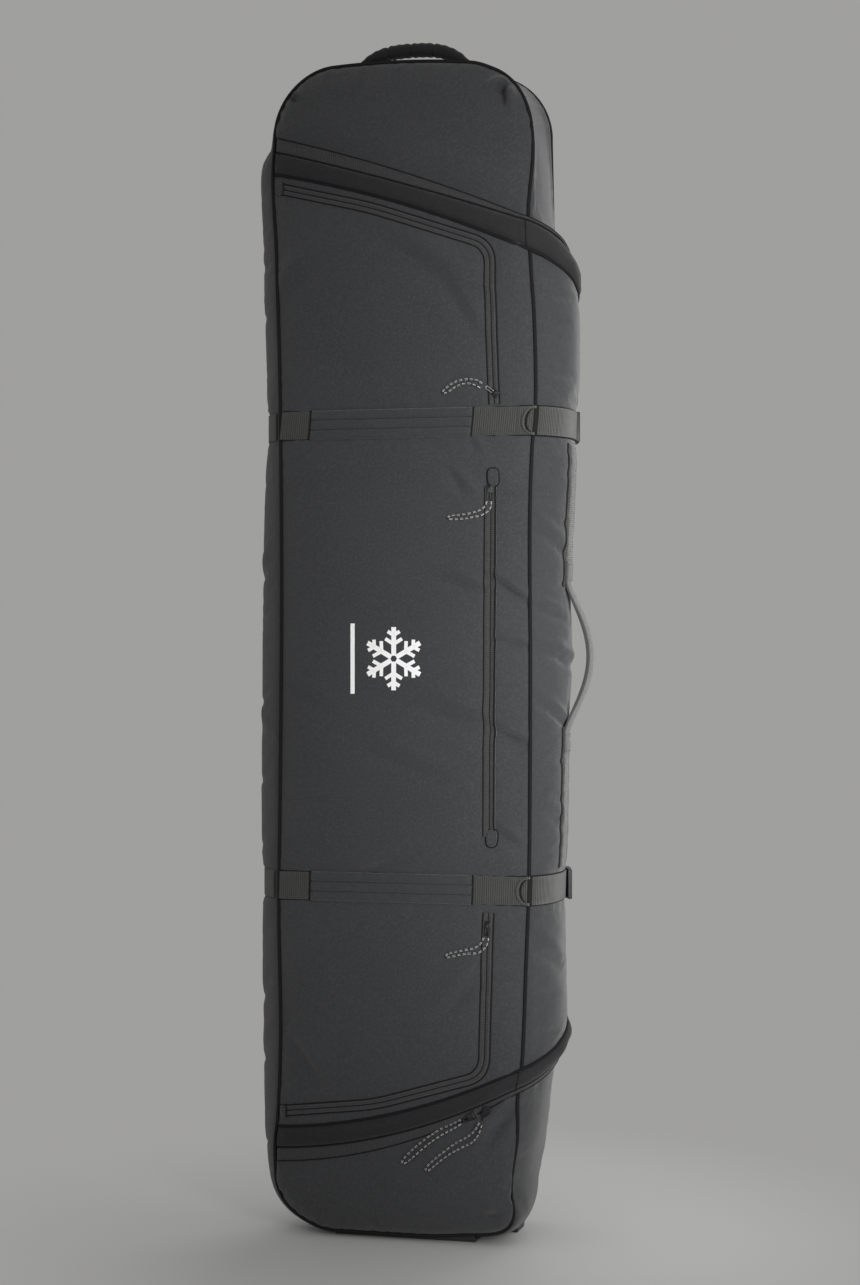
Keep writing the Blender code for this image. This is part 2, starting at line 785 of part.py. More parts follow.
def wheel(side, sign, looks):
    centre = (sign * WHEEL_X, WHEEL_Y, WHEEL_Z)
    half = WHEEL_WIDTH / 2
    core, shoulder, bore = 0.0195, 0.026, 0.0075
    seat = BEARING_OUTER + RUNNING
    tread = [(half, shoulder), (half - 0.003, WHEEL_RADIUS - 0.0012), (half - 0.007, WHEEL_RADIUS)]
    tyre_profile = [(-half, core + TOUCH), (half, core + TOUCH)] + tread
    tyre_profile += [(-x, r) for x, r in tread[::-1]]
    tyre = turned(side + "_tyre", tyre_profile, centre, looks["tyre"], 32)
    deep = half - BEARING_WIDTH - 0.0008
    hub_side = [(deep, bore), (deep, seat), (half, seat), (half, core)]
    hub = turned(side + "_hub", [(-x, r) for x, r in hub_side[::-1]] + hub_side, centre, looks["hub"])
    pieces = [tyre, hub]
    for place, direction in (("inner", -sign), ("outer", sign)):
        middle = direction * (half - 0.0004 - BEARING_WIDTH / 2)
        edge = BEARING_WIDTH / 2
        ring = [(middle - edge, BEARING_BORE + RUNNING), (middle + edge, BEARING_BORE + RUNNING)]
        ring += [(middle + edge, BEARING_OUTER), (middle - edge, BEARING_OUTER)]
        pieces.append(turned(f"{side}_{place}_bearing", ring, centre, looks["steel"], 20))
    pivot(side + "_wheel_axis", centre, pieces)

    cheek = HOUSING_WIDTH / 2
    bolt = [(-cheek - 0.004, 0.005), (-cheek - 0.0004, 0.0072), (-cheek - 0.0004, BEARING_BORE)]
    bolt += [(-x, r) for x, r in bolt[::-1]]
    loft(side + "_axle", [ring_points(centre, x, r, 20) for x, r in bolt], looks["steel"])


# ---- Sliders and cords ---------------------------------------------------------------------------
def slider(name, x, z, toward, lift, size, look):
    """A zip slider seen from the front: a body and a narrow pull tab that points toward (x, z)."""
    u = Vector(toward).normalized()
    v = Vector((-u.y, u.x))
    length, width, tab, tab_width = size
    shape = [(-length / 2, -width / 2), (length / 2, -width / 2), (length / 2, -tab_width / 2)]
    shape += [(length / 2 + tab, -tab_width / 2), (length / 2 + tab, tab_width / 2)]
    shape += [(length / 2, tab_width / 2), (length / 2, width / 2), (-length / 2, width / 2)]
    outline = [tuple(Vector((x, z)) + u * a + v * b) for a, b in shape]
    face = front_y(z)
    return plate(name, outline, lambda _: face - lift - 0.0042, lambda _: face - lift, look)


def smooth_route(points, spacing):
    """Points about spacing apart on a Catmull-Rom curve through the given ones."""
    route = [Vector(p) for p in points]
    route = [route[0] * 2 - route[1]] + route + [route[-1] * 2 - route[-2]]
    fine = []
    for a, b, c, d in zip(route, route[1:], route[2:], route[3:]):
        for i in range(24):
            t = i / 24
            squared, cubed = 2 * a - 5 * b + 4 * c - d, 3 * b - a - 3 * c + d
            fine.append(0.5 * (2 * b + (c - a) * t + squared * t**2 + cubed * t**3))
    fine.append(route[-2])
    total = sum((q - p).length for p, q in zip(fine, fine[1:]))
    count = max(8, round(total / spacing))
    even, walked, target = [fine[0]], 0.0, total / count
    for p, q in zip(fine, fine[1:]):
        walked += (q - p).length
        if walked >= target - 1e-9 and len(even) < count:
            even.append(q)
            target += total / count
    even.append(fine[-1])
    return even


def cord(name, route, look):
    """A pull cord: route is (x, z, lift off the face) by hand, out from the slider and back to it."""
    data = bpy.data.curves.new(name, "CURVE")
    data.dimensions = "3D"
    data.bevel_depth = CORD_RADIUS
    data.bevel_resolution = 2
    data.use_fill_caps = True
    points = smooth_route([(x, front_y(z) - lift, z) for x, z, lift in route], 0.006)
    spline = data.splines.new("POLY")
    spline.points.add(len(points) - 1)
    for target, point in zip(spline.points, points):
        target.co = (*point, 1)
    return add_object(name, data, look)


POCKET_PULLS = {
    # name: (slider x, z), where its tab points, cord route
    "upper_pocket": (
        (0.1348, 1.157),
        (-0.80, 0.60),
        (
            (0.1195, 1.1695, 0.0075), (0.1100, 1.1750, 0.0072), (0.0960, 1.1765, 0.0070),
            (0.0800, 1.1735, 0.0070), (0.0690, 1.1680, 0.0070), (0.0640, 1.1620, 0.0070),
            (0.0665, 1.1565, 0.0070), (0.0730, 1.1570, 0.0070), (0.0850, 1.1650, 0.0070),
            (0.0980, 1.1690, 0.0070), (0.1080, 1.1672, 0.0072), (0.1165, 1.1632, 0.0075),
        ),
    ),
    "middle_pocket": (
        (0.1285, 1.027),
        (0.0, -1.0),
        (
            (0.1312, 1.0105, 0.0075), (0.1300, 1.0010, 0.0072), (0.1220, 0.9925, 0.0070),
            (0.1080, 0.9880, 0.0070), (0.0920, 0.9850, 0.0070), (0.0790, 0.9845, 0.0070),
            (0.0725, 0.9885, 0.0070), (0.0750, 0.9940, 0.0070), (0.0850, 0.9945, 0.0070),
            (0.1000, 0.9955, 0.0070), (0.1140, 0.9990, 0.0072), (0.1225, 1.0045, 0.0074),
            (0.1252, 1.0105, 0.0075),
        ),
    ),
    "lower_pocket": (
        (0.1255, 0.438),
        (-0.10, -1.0),
        (
            (0.1270, 0.4215, 0.0075), (0.1245, 0.4100, 0.0072), (0.1150, 0.4005, 0.0070),
            (0.1010, 0.3985, 0.0070), (0.0870, 0.3960, 0.0070), (0.0760, 0.3925, 0.0070),
            (0.0695, 0.3950, 0.0070), (0.0710, 0.4010, 0.0070), (0.0810, 0.4035, 0.0070),
            (0.0950, 0.4060, 0.0070), (0.1070, 0.4085, 0.0072), (0.1160, 0.4140, 0.0074),
            (0.1207, 0.4215, 0.0075),
        ),
    ),
}

MAIN_PULLS = {
    "left_main": (
        (0.101, 0.1717),
        (-0.85, -0.52),
        (
            (0.0865, 0.1665, 0.0085), (0.0740, 0.1600, 0.0080), (0.0580, 0.1530, 0.0078),
            (0.0420, 0.1440, 0.0078), (0.0250, 0.1320, 0.0078), (0.0120, 0.1200, 0.0078),
            (0.0050, 0.1090, 0.0078), (0.0085, 0.1025, 0.0078), (0.0170, 0.1060, 0.0078),
            (0.0300, 0.1180, 0.0078), (0.0460, 0.1330, 0.0078), (0.0620, 0.1450, 0.0078),
            (0.0770, 0.1540, 0.0080), (0.0885, 0.1618, 0.0085),
        ),
    ),
    "right_main": (
        (0.1237, 0.1793),
        (-0.35, -0.94),
        (
            (0.1145, 0.1655, 0.0085), (0.1060, 0.1530, 0.0080), (0.0930, 0.1440, 0.0078),
            (0.0790, 0.1370, 0.0078), (0.0640, 0.1260, 0.0078), (0.0490, 0.1140, 0.0078),
            (0.0390, 0.1040, 0.0078), (0.0400, 0.0970, 0.0078), (0.0480, 0.0975, 0.0078),
            (0.0610, 0.1085, 0.0078), (0.0770, 0.1210, 0.0078), (0.0930, 0.1300, 0.0078),
            (0.1060, 0.1380, 0.0078), (0.1150, 0.1500, 0.0080), (0.1195, 0.1635, 0.0085),
        ),
    ),
}


def zip_pulls(looks):
    metal, rope = looks["slider_metal"], looks["cord"]
    # each slider's lift, and its (length, width, tab length, tab width)
    pocket_set = (POCKET_PULLS, 0.0024, (0.012, 0.009, 0.008, 0.0050))
    main_set = (MAIN_PULLS, 0.0015, (0.015, 0.012, 0.006, 0.0060))
    for pulls, lift, size in (pocket_set, main_set):
        for name, ((x, z), toward, route) in pulls.items():
            body = slider(name + "_slider", x, z, toward, lift, size, metal)
            pull = cord(name + "_cord", route, rope)
            pivot(name + "_slide", (x, front_y(z), z), [body, pull])


# ---- Assembly ------------------------------------------------------------------------------------
def make_looks():
    return {
        "shell_fabric": material("shell_fabric", (0.042, 0.044, 0.048), 0.75),
        "gusset_fabric": material("gusset_fabric", (0.050, 0.052, 0.056), 0.75),
        "back_fabric": material("back_fabric", (0.030, 0.031, 0.034), 0.80),
        "webbing": material("webbing", (0.060, 0.061, 0.062), 0.70),
        "zip_tape": material("zip_tape", (0.020, 0.021, 0.023), 0.80),
        "base_plastic": material("base_plastic", (0.018, 0.018, 0.019), 0.45),
        "buckle_plastic": material("buckle_plastic", (0.010, 0.010, 0.011), 0.35),
        "stiffener": material("stiffener", (0.30, 0.30, 0.30), 0.60),
        "slider_metal": material("slider_metal", (0.045, 0.045, 0.048), 0.35, 1.0),
        "steel": material("steel", (0.60, 0.60, 0.62), 0.25, 1.0),
        "hub": material("hub", (0.62, 0.62, 0.60), 0.45),
        "tyre": material("tyre", (0.015, 0.015, 0.016), 0.65),
        "cord": material("cord", (0.030, 0.030, 0.032), 0.80),
    }


def main():
    clear_scene()
    looks = make_looks()
    body_panels(looks)
    body_rim(looks)
    zip_tapes(looks)

    upper_roll = door_roll("upper_roll", upper_zip, upper_roll_foot, UPPER_FALL, looks["gusset_fabric"])
    lower_roll = door_roll("lower_roll", lower_zip, lower_roll_top, LOWER_RISE, looks["gusset_fabric"])
    door = door_panels(looks) + [upper_roll, lower_roll] + pocket_zips(looks)
    door += front_straps(looks) + side_handle(looks)
    hinge_height = 0.80
    pivot("door_hinge", (-half_width(hinge_height), front_y(hinge_height), hinge_height), door)

    rear_straps(looks)
    inner_straps(looks)
    top_handle(looks)
    for side, sign in (("left", -1), ("right", 1)):
        housing(side, sign, looks)
        wheel(side, sign, looks)
    zip_pulls(looks)


main()
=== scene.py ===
"""The looks of the wheeled snowboard bag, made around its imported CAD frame.

Metres, +Z up, the front faces -Y and +X is the viewer's right, as in the CAD. Each soft part is a sheet
with its own shape formula; a cloth simulation on a coarse copy adds the give of the padded fabric.
"""

import math

import bmesh
import bpy
import numpy as np
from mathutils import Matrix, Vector
from mathutils.bvhtree import BVHTree


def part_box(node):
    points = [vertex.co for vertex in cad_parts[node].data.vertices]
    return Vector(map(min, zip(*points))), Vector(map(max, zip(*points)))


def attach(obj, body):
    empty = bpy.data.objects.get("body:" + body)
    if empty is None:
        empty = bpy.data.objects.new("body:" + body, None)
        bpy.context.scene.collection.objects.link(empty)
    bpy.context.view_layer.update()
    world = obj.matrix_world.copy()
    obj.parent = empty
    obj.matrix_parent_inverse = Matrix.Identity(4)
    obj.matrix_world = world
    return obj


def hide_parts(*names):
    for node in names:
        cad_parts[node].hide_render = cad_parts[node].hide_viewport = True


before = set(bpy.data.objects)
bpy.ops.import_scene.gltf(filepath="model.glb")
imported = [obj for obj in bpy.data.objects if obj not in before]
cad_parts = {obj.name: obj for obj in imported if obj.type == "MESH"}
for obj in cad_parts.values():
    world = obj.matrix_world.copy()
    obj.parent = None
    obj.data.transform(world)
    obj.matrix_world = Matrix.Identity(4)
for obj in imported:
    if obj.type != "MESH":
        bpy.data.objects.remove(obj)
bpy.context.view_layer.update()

# ---- Dimensions: the CAD's, read from the frame where it holds them ------------------------------
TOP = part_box("upper_cap_panel")[1].z
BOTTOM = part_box("lower_cap_panel")[0].z
TOP_RADIUS, BOTTOM_RADIUS = 0.086, 0.070
BASE_HALF, FLARE = 0.170, 0.0088
BOTTOM_POWER = {-1: 1.0, 1: 0.62}  # 1 for a round bottom corner, less for a squarer one
BOTTOM_LIFT = 0.0065  # how far the bottom's right corner is drawn up
FRONT_PROFILE = ((0.0, -0.075), (0.25, -0.090), (1.30, -0.090), (1.61, -0.065))
BACK_PROFILE = ((0.0, 0.010), (0.12, 0.090), (1.20, 0.090), (1.61, 0.030))
HEEL = BACK_PROFILE[1][0]
WEBBING = 0.038
STRAP_LEVELS = {
    level: (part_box(level + "_front_strap")[0].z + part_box(level + "_front_strap")[1].z) / 2
    for level in ("upper", "lower")
}
UPPER_FALL, LOWER_RISE = -0.50, 0.40  # slope of the zip lines on the side, per metre of depth
STRIP_Y = (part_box("side_handle")[0].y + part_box("side_handle")[1].y) / 2
GRIP_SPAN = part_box("side_handle")[0].z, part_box("side_handle")[1].z
STRIP_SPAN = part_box("side_handle_strip")[0].z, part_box("side_handle_strip")[1].z

# How the soft body strays from the CAD's straight seams, as (height, outward shift).
LEFT_SHIFT = ((0.0, -0.006), (0.05, 0.008), (0.12, 0.011), (0.17, 0.005), (0.27, -0.001), (0.45, 0.0),
              (0.60, -0.003), (0.86, -0.0076), (1.10, -0.0085), (1.25, -0.007), (1.36, -0.003),
              (1.46, 0.004), (1.53, 0.002), (1.61, 0.004))
RIGHT_SHIFT = ((0.0, -0.004), (0.037, -0.010), (0.076, -0.0175), (0.112, -0.014), (0.15, -0.008),
               (0.21, -0.007), (0.25, -0.001), (0.39, 0.0036), (0.50, 0.0066), (0.77, 0.006),
               (0.98, 0.0034), (1.08, 0.0055), (1.145, 0.010), (1.26, 0.007), (1.32, 0.002),
               (1.40, -0.0043), (1.49, 0.0), (1.55, -0.007), (1.61, -0.008))
RIGHT_BACK_SHIFT = ((0.0, -0.012), (0.12, -0.012), (0.20, -0.008), (0.30, 0.0))

# How far the sides stand out of the seams, as (height, bulge).
LEFT_BULGE = ((0.008, 0.0035), (0.045, 0.017), (0.15, 0.038), (0.30, 0.043), (0.45, 0.042), (0.485, 0.038),
              (0.53, 0.044), (0.90, 0.043), (1.06, 0.037), (1.119, 0.031), (1.17, 0.034), (1.44, 0.031),
              (1.490, 0.029), (1.515, 0.015), (1.56, 0.008), (1.61, 0.004))
RIGHT_BULGE = ((0.20, 0.028), (0.30, 0.033), (0.40, 0.029), (0.485, 0.0275), (0.56, 0.031), (0.89, 0.034),
               (1.06, 0.040), (1.119, 0.0370), (1.18, 0.0395), (1.27, 0.042), (1.35, 0.036))
CAP_BULGE = ((0.008, 0.0035), (0.03, 0.007), (0.10, 0.010), (0.20, 0.018), (0.30, 0.020), (1.30, 0.020),
             (1.40, 0.013), (1.47, 0.006), (1.54, 0.000), (1.61, 0.001))

SEAM_DEPTH, SEAM_WIDTH = 0.0048, 0.0036
SEAM_SHADE_RADIUS = 0.0028  # radius of the black tube of painted shade in each seam's groove
SEAM_RIM = 0.0006  # the seam's bottom stands this far out of the groove
PANEL_LIFT = 0.0010  # how far the fabric's face lies out of the CAD's front plane
SIDE_LIFT = 0.0022  # how far the sides' fabric stands out of the outline, without its bulge
PADDING, SHELL_FILL = 0.0045, 0.35  # thickness of the padded sheets, and how full their padding is
TOP_CROWN = 0.010
ROLL_HEIGHT = 0.0100  # how far the welts over the big zip stand up
TURN = 0.012  # the reach of the bend over the right front seam
DOOR_SIZE = (0.356, 1.300)
DOOR_SIDE_END = 0.94  # where the door's side stops short of the back seam, for its zip
STRAP_THICKNESS = 0.0021
STITCH_PITCH, STITCH_LENGTH, STITCH_RADIUS = 0.0036, 0.0026, 0.00035
CLOTH_FRAMES, CLOTH_CELL = 20, 0.0065

CORD_DIAMETER = 0.0026
CORD_LAID = 0.0050  # how far the cords' CAD lifts are brought down on to the fabric
LOOP_CLOSING = 0.50  # how much of a loop's width is taken out
MAIN_RAISE = 0.006  # how far the main pulls lie above the CAD's, as their zip does
POCKET_SLIDER = (0.012, 0.009, 0.008, 0.0050)  # length, width, tab length and tab width
MAIN_SLIDER = (0.015, 0.012, 0.006, 0.0060)

BACKDROP = (0.352, 0.350, 0.343)
FLOOR_COLOUR, FLOOR_FADE, FLOOR_REACH = (0.74, 0.74, 0.733), (0.20, 0.85), 40.0
CAMERA_TARGET, CAMERA_DISTANCE = Vector((0.0192, 0.0, 0.820)), 3.5
CAMERA_TURN, CAMERA_LENS = math.radians(15), 70.12

FOLD_STEEPNESS = 3.2  # turns a fold's depth into its cross-section's height
FRONT_FOLDING = 1.6  # the front's folds are this much stronger than the sides'

# Folds of the fabric: middle, half length, half width, tilt above level in degrees and depth. Each is a
# ridge with a dent below it. On the front a place is (x, z), on the sides (y, z).
FRONT_FOLDS = (
    ((0.045, 1.340), 0.090, 0.022, -34, 0.0030),
    ((0.095, 1.275), 0.045, 0.013, -56, 0.0024),
    ((-0.138, 1.335), 0.045, 0.020, 43, 0.0022),
    ((0.110, 1.087), 0.010, 0.006, -56, 0.0022),
    ((0.090, 1.037), 0.018, 0.009, -50, 0.0028),
    ((0.162, 0.892), 0.032, 0.008, -35, 0.0042),
    ((0.096, 0.903), 0.030, 0.012, -17, 0.0026),
    ((0.160, 0.823), 0.022, 0.008, -9, 0.0030),
    ((0.160, 0.697), 0.026, 0.009, -26, 0.0045),
    ((0.079, 0.730), 0.055, 0.016, -15, 0.0030),
    ((0.012, 0.662), 0.050, 0.015, -21, 0.0026),
    ((-0.127, 0.754), 0.032, 0.013, -34, 0.0024),
    ((0.153, 0.563), 0.020, 0.009, -38, 0.0030),
    ((-0.027, 0.522), 0.040, 0.011, 19, 0.0026),
    ((0.086, 0.350), 0.035, 0.014, 45, 0.0028),
    ((-0.129, 0.253), 0.040, 0.013, -56, 0.0030),
    ((0.133, 0.168), 0.034, 0.011, 52, 0.0045),
    ((0.128, 0.050), 0.011, 0.010, 10, 0.0034),
    ((0.147, 1.562), 0.017, 0.008, -80, 0.0056),
    ((0.137, 1.578), 0.014, 0.007, 20, 0.0040),
    ((-0.156, 1.577), 0.009, 0.004, -34, 0.0034),
)
RIGHT_FOLDS = (
    ((-0.038, 0.721), 0.055, 0.007, -33, 0.0042),
    ((-0.035, 0.950), 0.060, 0.011, -35, 0.0030),
    ((-0.065, 0.868), 0.028, 0.008, -20, 0.0040),
    ((-0.045, 0.808), 0.045, 0.010, -17, 0.0042),
    ((0.012, 0.800), 0.090, 0.024, 90, 0.0060),
    ((0.050, 1.190), 0.022, 0.010, -70, 0.0030),
    ((0.040, 1.145), 0.020, 0.009, -50, 0.0030),
    ((-0.030, 0.580), 0.035, 0.012, -30, 0.0026),
    ((-0.045, 0.400), 0.040, 0.014, -40, 0.0028),
)
LEFT_FOLDS = (
    ((-0.050, 0.350), 0.030, 0.012, -50, 0.0013),
    ((-0.050, 0.265), 0.030, 0.012, -50, 0.0013),
    ((-0.040, 0.930), 0.035, 0.014, -35, 0.0013),
    ((-0.050, 0.700), 0.030, 0.014, 30, 0.0013),
)

# The pocket zips' centre lines on the front, as (x, z) corners.
POCKET_CORNER = 0.026
POCKET_ROUTES = {
    "upper": ((-0.179, 1.450), (-0.045, 1.417), (0.127, 1.358), (0.1345, 1.142)),
    "middle": ((0.1280, 0.558), (0.1305, 1.030)),
    "lower": ((-0.172, 0.172), (-0.035, 0.188), (0.120, 0.234), (0.1265, 0.455)),
}

# The zip pulls, as in the CAD: slider's (x, z), where its tab points, and its cord's (x, z, lift) route.
POCKET_PULLS = {
    "upper_pocket": (
        (0.1348, 1.157),
        (-0.80, 0.60),
        (
            (0.1195, 1.1695, 0.0075), (0.1100, 1.1750, 0.0072), (0.0960, 1.1765, 0.0070),
            (0.0800, 1.1735, 0.0070), (0.0690, 1.1680, 0.0070), (0.0640, 1.1620, 0.0070),
            (0.0665, 1.1565, 0.0070), (0.0730, 1.1570, 0.0070), (0.0850, 1.1650, 0.0070),
            (0.0980, 1.1690, 0.0070), (0.1080, 1.1672, 0.0072), (0.1165, 1.1632, 0.0075),
        ),
    ),
    "middle_pocket": (
        (0.1285, 1.027),
        (0.0, -1.0),
        (
            (0.1312, 1.0105, 0.0075), (0.1300, 1.0010, 0.0072), (0.1220, 0.9925, 0.0070),
            (0.1080, 0.9880, 0.0070), (0.0920, 0.9850, 0.0070), (0.0790, 0.9845, 0.0070),
            (0.0725, 0.9885, 0.0070), (0.0750, 0.9940, 0.0070), (0.0850, 0.9945, 0.0070),
            (0.1000, 0.9955, 0.0070), (0.1140, 0.9990, 0.0072), (0.1225, 1.0045, 0.0074),
            (0.1252, 1.0105, 0.0075),
        ),
    ),
    "lower_pocket": (
        (0.1255, 0.438),
        (-0.10, -1.0),
        (
            (0.1270, 0.4215, 0.0075), (0.1245, 0.4100, 0.0072), (0.1150, 0.4005, 0.0070),
            (0.1010, 0.3985, 0.0070), (0.0870, 0.3960, 0.0070), (0.0760, 0.3925, 0.0070),
            (0.0695, 0.3950, 0.0070), (0.0710, 0.4010, 0.0070), (0.0810, 0.4035, 0.0070),
            (0.0950, 0.4060, 0.0070), (0.1070, 0.4085, 0.0072), (0.1160, 0.4140, 0.0074),
            (0.1207, 0.4215, 0.0075),
        ),
    ),
}

MAIN_PULLS = {
    "left_main": (
        (0.101, 0.1717),
        (-0.85, -0.52),
        (
            (0.0865, 0.1665, 0.0085), (0.0740, 0.1600, 0.0080), (0.0580, 0.1530, 0.0078),
            (0.0420, 0.1440, 0.0078), (0.0250, 0.1320, 0.0078), (0.0120, 0.1200, 0.0078),
            (0.0050, 0.1090, 0.0078), (0.0085, 0.1025, 0.0078), (0.0170, 0.1060, 0.0078),
            (0.0300, 0.1180, 0.0078), (0.0460, 0.1330, 0.0078), (0.0620, 0.1450, 0.0078),
            (0.0770, 0.1540, 0.0080), (0.0885, 0.1618, 0.0085),
        ),
    ),
    "right_main": (
        (0.1237, 0.1793),
        (-0.35, -0.94),
        (
            (0.1145, 0.1655, 0.0085), (0.1060, 0.1530, 0.0080), (0.0930, 0.1440, 0.0078),
            (0.0790, 0.1370, 0.0078), (0.0640, 0.1260, 0.0078), (0.0490, 0.1140, 0.0078),
            (0.0390, 0.1040, 0.0078), (0.0400, 0.0970, 0.0078), (0.0480, 0.0975, 0.0078),
            (0.0610, 0.1085, 0.0078), (0.0770, 0.1210, 0.0078), (0.0930, 0.1300, 0.0078),
            (0.1060, 0.1380, 0.0078), (0.1150, 0.1500, 0.0080), (0.1195, 0.1635, 0.0085),
        ),
    ),
}


# ---- Formulas shared by the pieces ---------------------------------------------------------------
def along(points, t):
    """The value at t of a line through (t, value) points; it runs on straight past both ends."""
    for (t0, v0), (t1, v1) in zip(points, points[1:]):
        if t <= t1:
            break
    return v0 + (v1 - v0) * (t - t0) / (t1 - t0)


def eased(points, t):
    """A smooth curve through (t, value) points, level past both ends."""
    if t <= points[0][0]:
        return points[0][1]
    if t >= points[-1][0]:
        return points[-1][1]
    k = next(i for i in range(len(points) - 1) if t <= points[i + 1][0])
    (t0, v0), (t1, v1) = points[k], points[k + 1]

    def slope(i):
        a, b = points[max(i - 1, 0)], points[min(i + 1, len(points) - 1)]
        return (b[1] - a[1]) / (b[0] - a[0]) * (t1 - t0)

    s = (t - t0) / (t1 - t0)
    bend0, bend1 = s * (1 - s) ** 2 * slope(k), s * s * (s - 1) * slope(k + 1)
    return v0 + (v1 - v0) * s * s * (3 - 2 * s) + bend0 + bend1


def front_y(z):
    return along(FRONT_PROFILE, z)


def back_y(z):
    return along(BACK_PROFILE, z)


def depth_at(z):
    return back_y(z) - front_y(z)


def half_width(z):
    return BASE_HALF + FLARE * z


def seam_x(side, z, g=0.0):
    """x of the body's edge at height z, from the front seam (g = 0) to the back seam (g = 1)."""
    front = eased(LEFT_SHIFT if side < 0 else RIGHT_SHIFT, z)
    back = 0.0 if side < 0 else eased(RIGHT_BACK_SHIFT, z)
    return side * (half_width(z) + front * (1 - g) + back * g)


def parabola(height, slope, bend):
    """A line over the front: height at the left edge, slope there, and bend."""

    def at(x):
        s = x + half_width(TOP)
        return height + slope * s + bend * s * s

    return at


upper_zip = parabola(1.501, -0.26, -0.14)
upper_roll_foot = parabola(1.471, -0.20, -0.35)
lower_zip = parabola(0.121, 0.03, 0.72)
lower_roll_top = parabola(0.149, 0.03, 0.67)


def upper_tape_top(x):
    return upper_zip(x) + 0.020 - 0.110 * (x + half_width(TOP)) ** 2


def lower_tape_foot(x):
    return lower_zip(x) - 0.019 + 0.100 * (x + half_width(TOP)) ** 2


def seam_height(line, side=1):
    """Height at which a front line meets a side's seam."""
    z = line(side * BASE_HALF)
    for _ in range(4):
        z = line(seam_x(side, z))
    return z


def groove(distance):
    """How far a face has risen out of the seam at this distance from it, 0 to 1."""
    return 1 - math.exp(-((max(distance, 0.0) / SEAM_WIDTH) ** 1.4))


def pressed(folds, a, b):
    """How far a face's folds press it in at (a, b)."""
    depth = 0.0
    for (middle_a, middle_b), length, width, tilt, deep in folds:
        c, s = math.cos(math.radians(tilt)), math.sin(math.radians(tilt))
        run = ((a - middle_a) * c + (b - middle_b) * s) / length
        across = ((b - middle_b) * c - (a - middle_a) * s) / width
        if run * run + across * across < 9:
            depth -= deep * FOLD_STEEPNESS * across * math.exp(-run * run - across * across)
    return depth


def beside_strip(y, z):
    """1 away from the side handle's sewn strips and 0 under them."""
    off = 0.0 if STRIP_SPAN[0] < z < GRIP_SPAN[0] or GRIP_SPAN[1] < z < STRIP_SPAN[1] else 1.0
    inside = min(abs(z - GRIP_SPAN[0]), abs(z - GRIP_SPAN[1])) / 0.020
    near = math.exp(-((abs(y - STRIP_Y) / 0.025) ** 4))
    return 1 - near * (1 - off * min(1.0, inside))


def rim_crown(g):
    """1 in the middle of a side wall and 0 in its seams."""
    return 1 - abs(2 * g - 1) ** 2.4


def strap_gate(z, reach=0.032):
    """1 away from the straps and 0 under them."""
    return 1 - sum(math.exp(-(((z - level) / reach) ** 2)) for level in STRAP_LEVELS.values())


def off_straps(z, margin):
    """1 where z clears the straps by a margin and 0 elsewhere, for cloth that they hold down."""
    nearest = min(abs(z - level) for level in STRAP_LEVELS.values())
    return 1.0 if nearest > WEBBING / 2 + margin else 0.0


def station(side, level, g):
    """(x, z, outward x, outward z) on the outline: level -1 to 0 is the bottom corner, 0 to 1 the side
    and 1 to 2 the top corner."""
    if level < 0:
        turn = -level * math.pi / 2
        c, s = (max(0.0, part) ** BOTTOM_POWER[side] for part in (math.cos(turn), math.sin(turn)))
        z = BOTTOM + BOTTOM_RADIUS * (1 - s)
        x = seam_x(side, z, g) - side * BOTTOM_RADIUS * (1 - c)
        return x, z + bottom_rise(x) * s, side * math.cos(turn), -math.sin(turn)
    if level > 1:
        turn = (level - 1) * math.pi / 2
        z = TOP - TOP_RADIUS * (1 - math.sin(turn))
        x = seam_x(side, z, g) - side * TOP_RADIUS * (1 - math.cos(turn))
        return x, z + top_crown(x, g) * math.sin(turn), side * math.cos(turn), math.sin(turn)
    low, high = BOTTOM + BOTTOM_RADIUS, TOP - TOP_RADIUS
    z = low + (high - low) * level
    return seam_x(side, z, g), z, side, 0.0


def bottom_rise(x):
    """How far the bottom's edge is drawn up at x, towards its right corner."""
    t = min(1.0, max(0.0, (x - 0.02) / 0.11))
    return BOTTOM_LIFT * t * t * (3 - 2 * t)


def top_crown(x, g):
    """How far the top's edge stands up at x; it fades towards the back."""
    return TOP_CROWN * max(0.0, 1 - ((x + 0.03) / 0.15) ** 2) * max(0.0, 1 - g / 0.35) ** 2


def level_of(z):
    """The station level of a height on the side."""
    return (z - BOTTOM - BOTTOM_RADIUS) / (TOP - TOP_RADIUS - BOTTOM - BOTTOM_RADIUS)


# ---- Meshes --------------------------------------------------------------------------------------
def add_object(name, data, looks):
    obj = bpy.data.objects.new(name, data)
    bpy.context.scene.collection.objects.link(obj)
    for look in looks:
        data.materials.append(look)
    return obj


def arc_uvs(grid):
    """UVs in metres: along each row from its middle, and up the middle column."""
    across = np.linalg.norm(np.diff(grid, axis=1), axis=2)
    u = np.concatenate([np.zeros((len(grid), 1)), np.cumsum(across, axis=1)], axis=1)
    middle = grid.shape[1] // 2
    u -= u[:, middle : middle + 1]
    climb = np.linalg.norm(np.diff(grid[:, middle], axis=0), axis=1)
    v = np.concatenate([[0.0], np.cumsum(climb)])
    return np.stack([u, np.repeat(v[:, None], grid.shape[1], axis=1)], axis=-1)


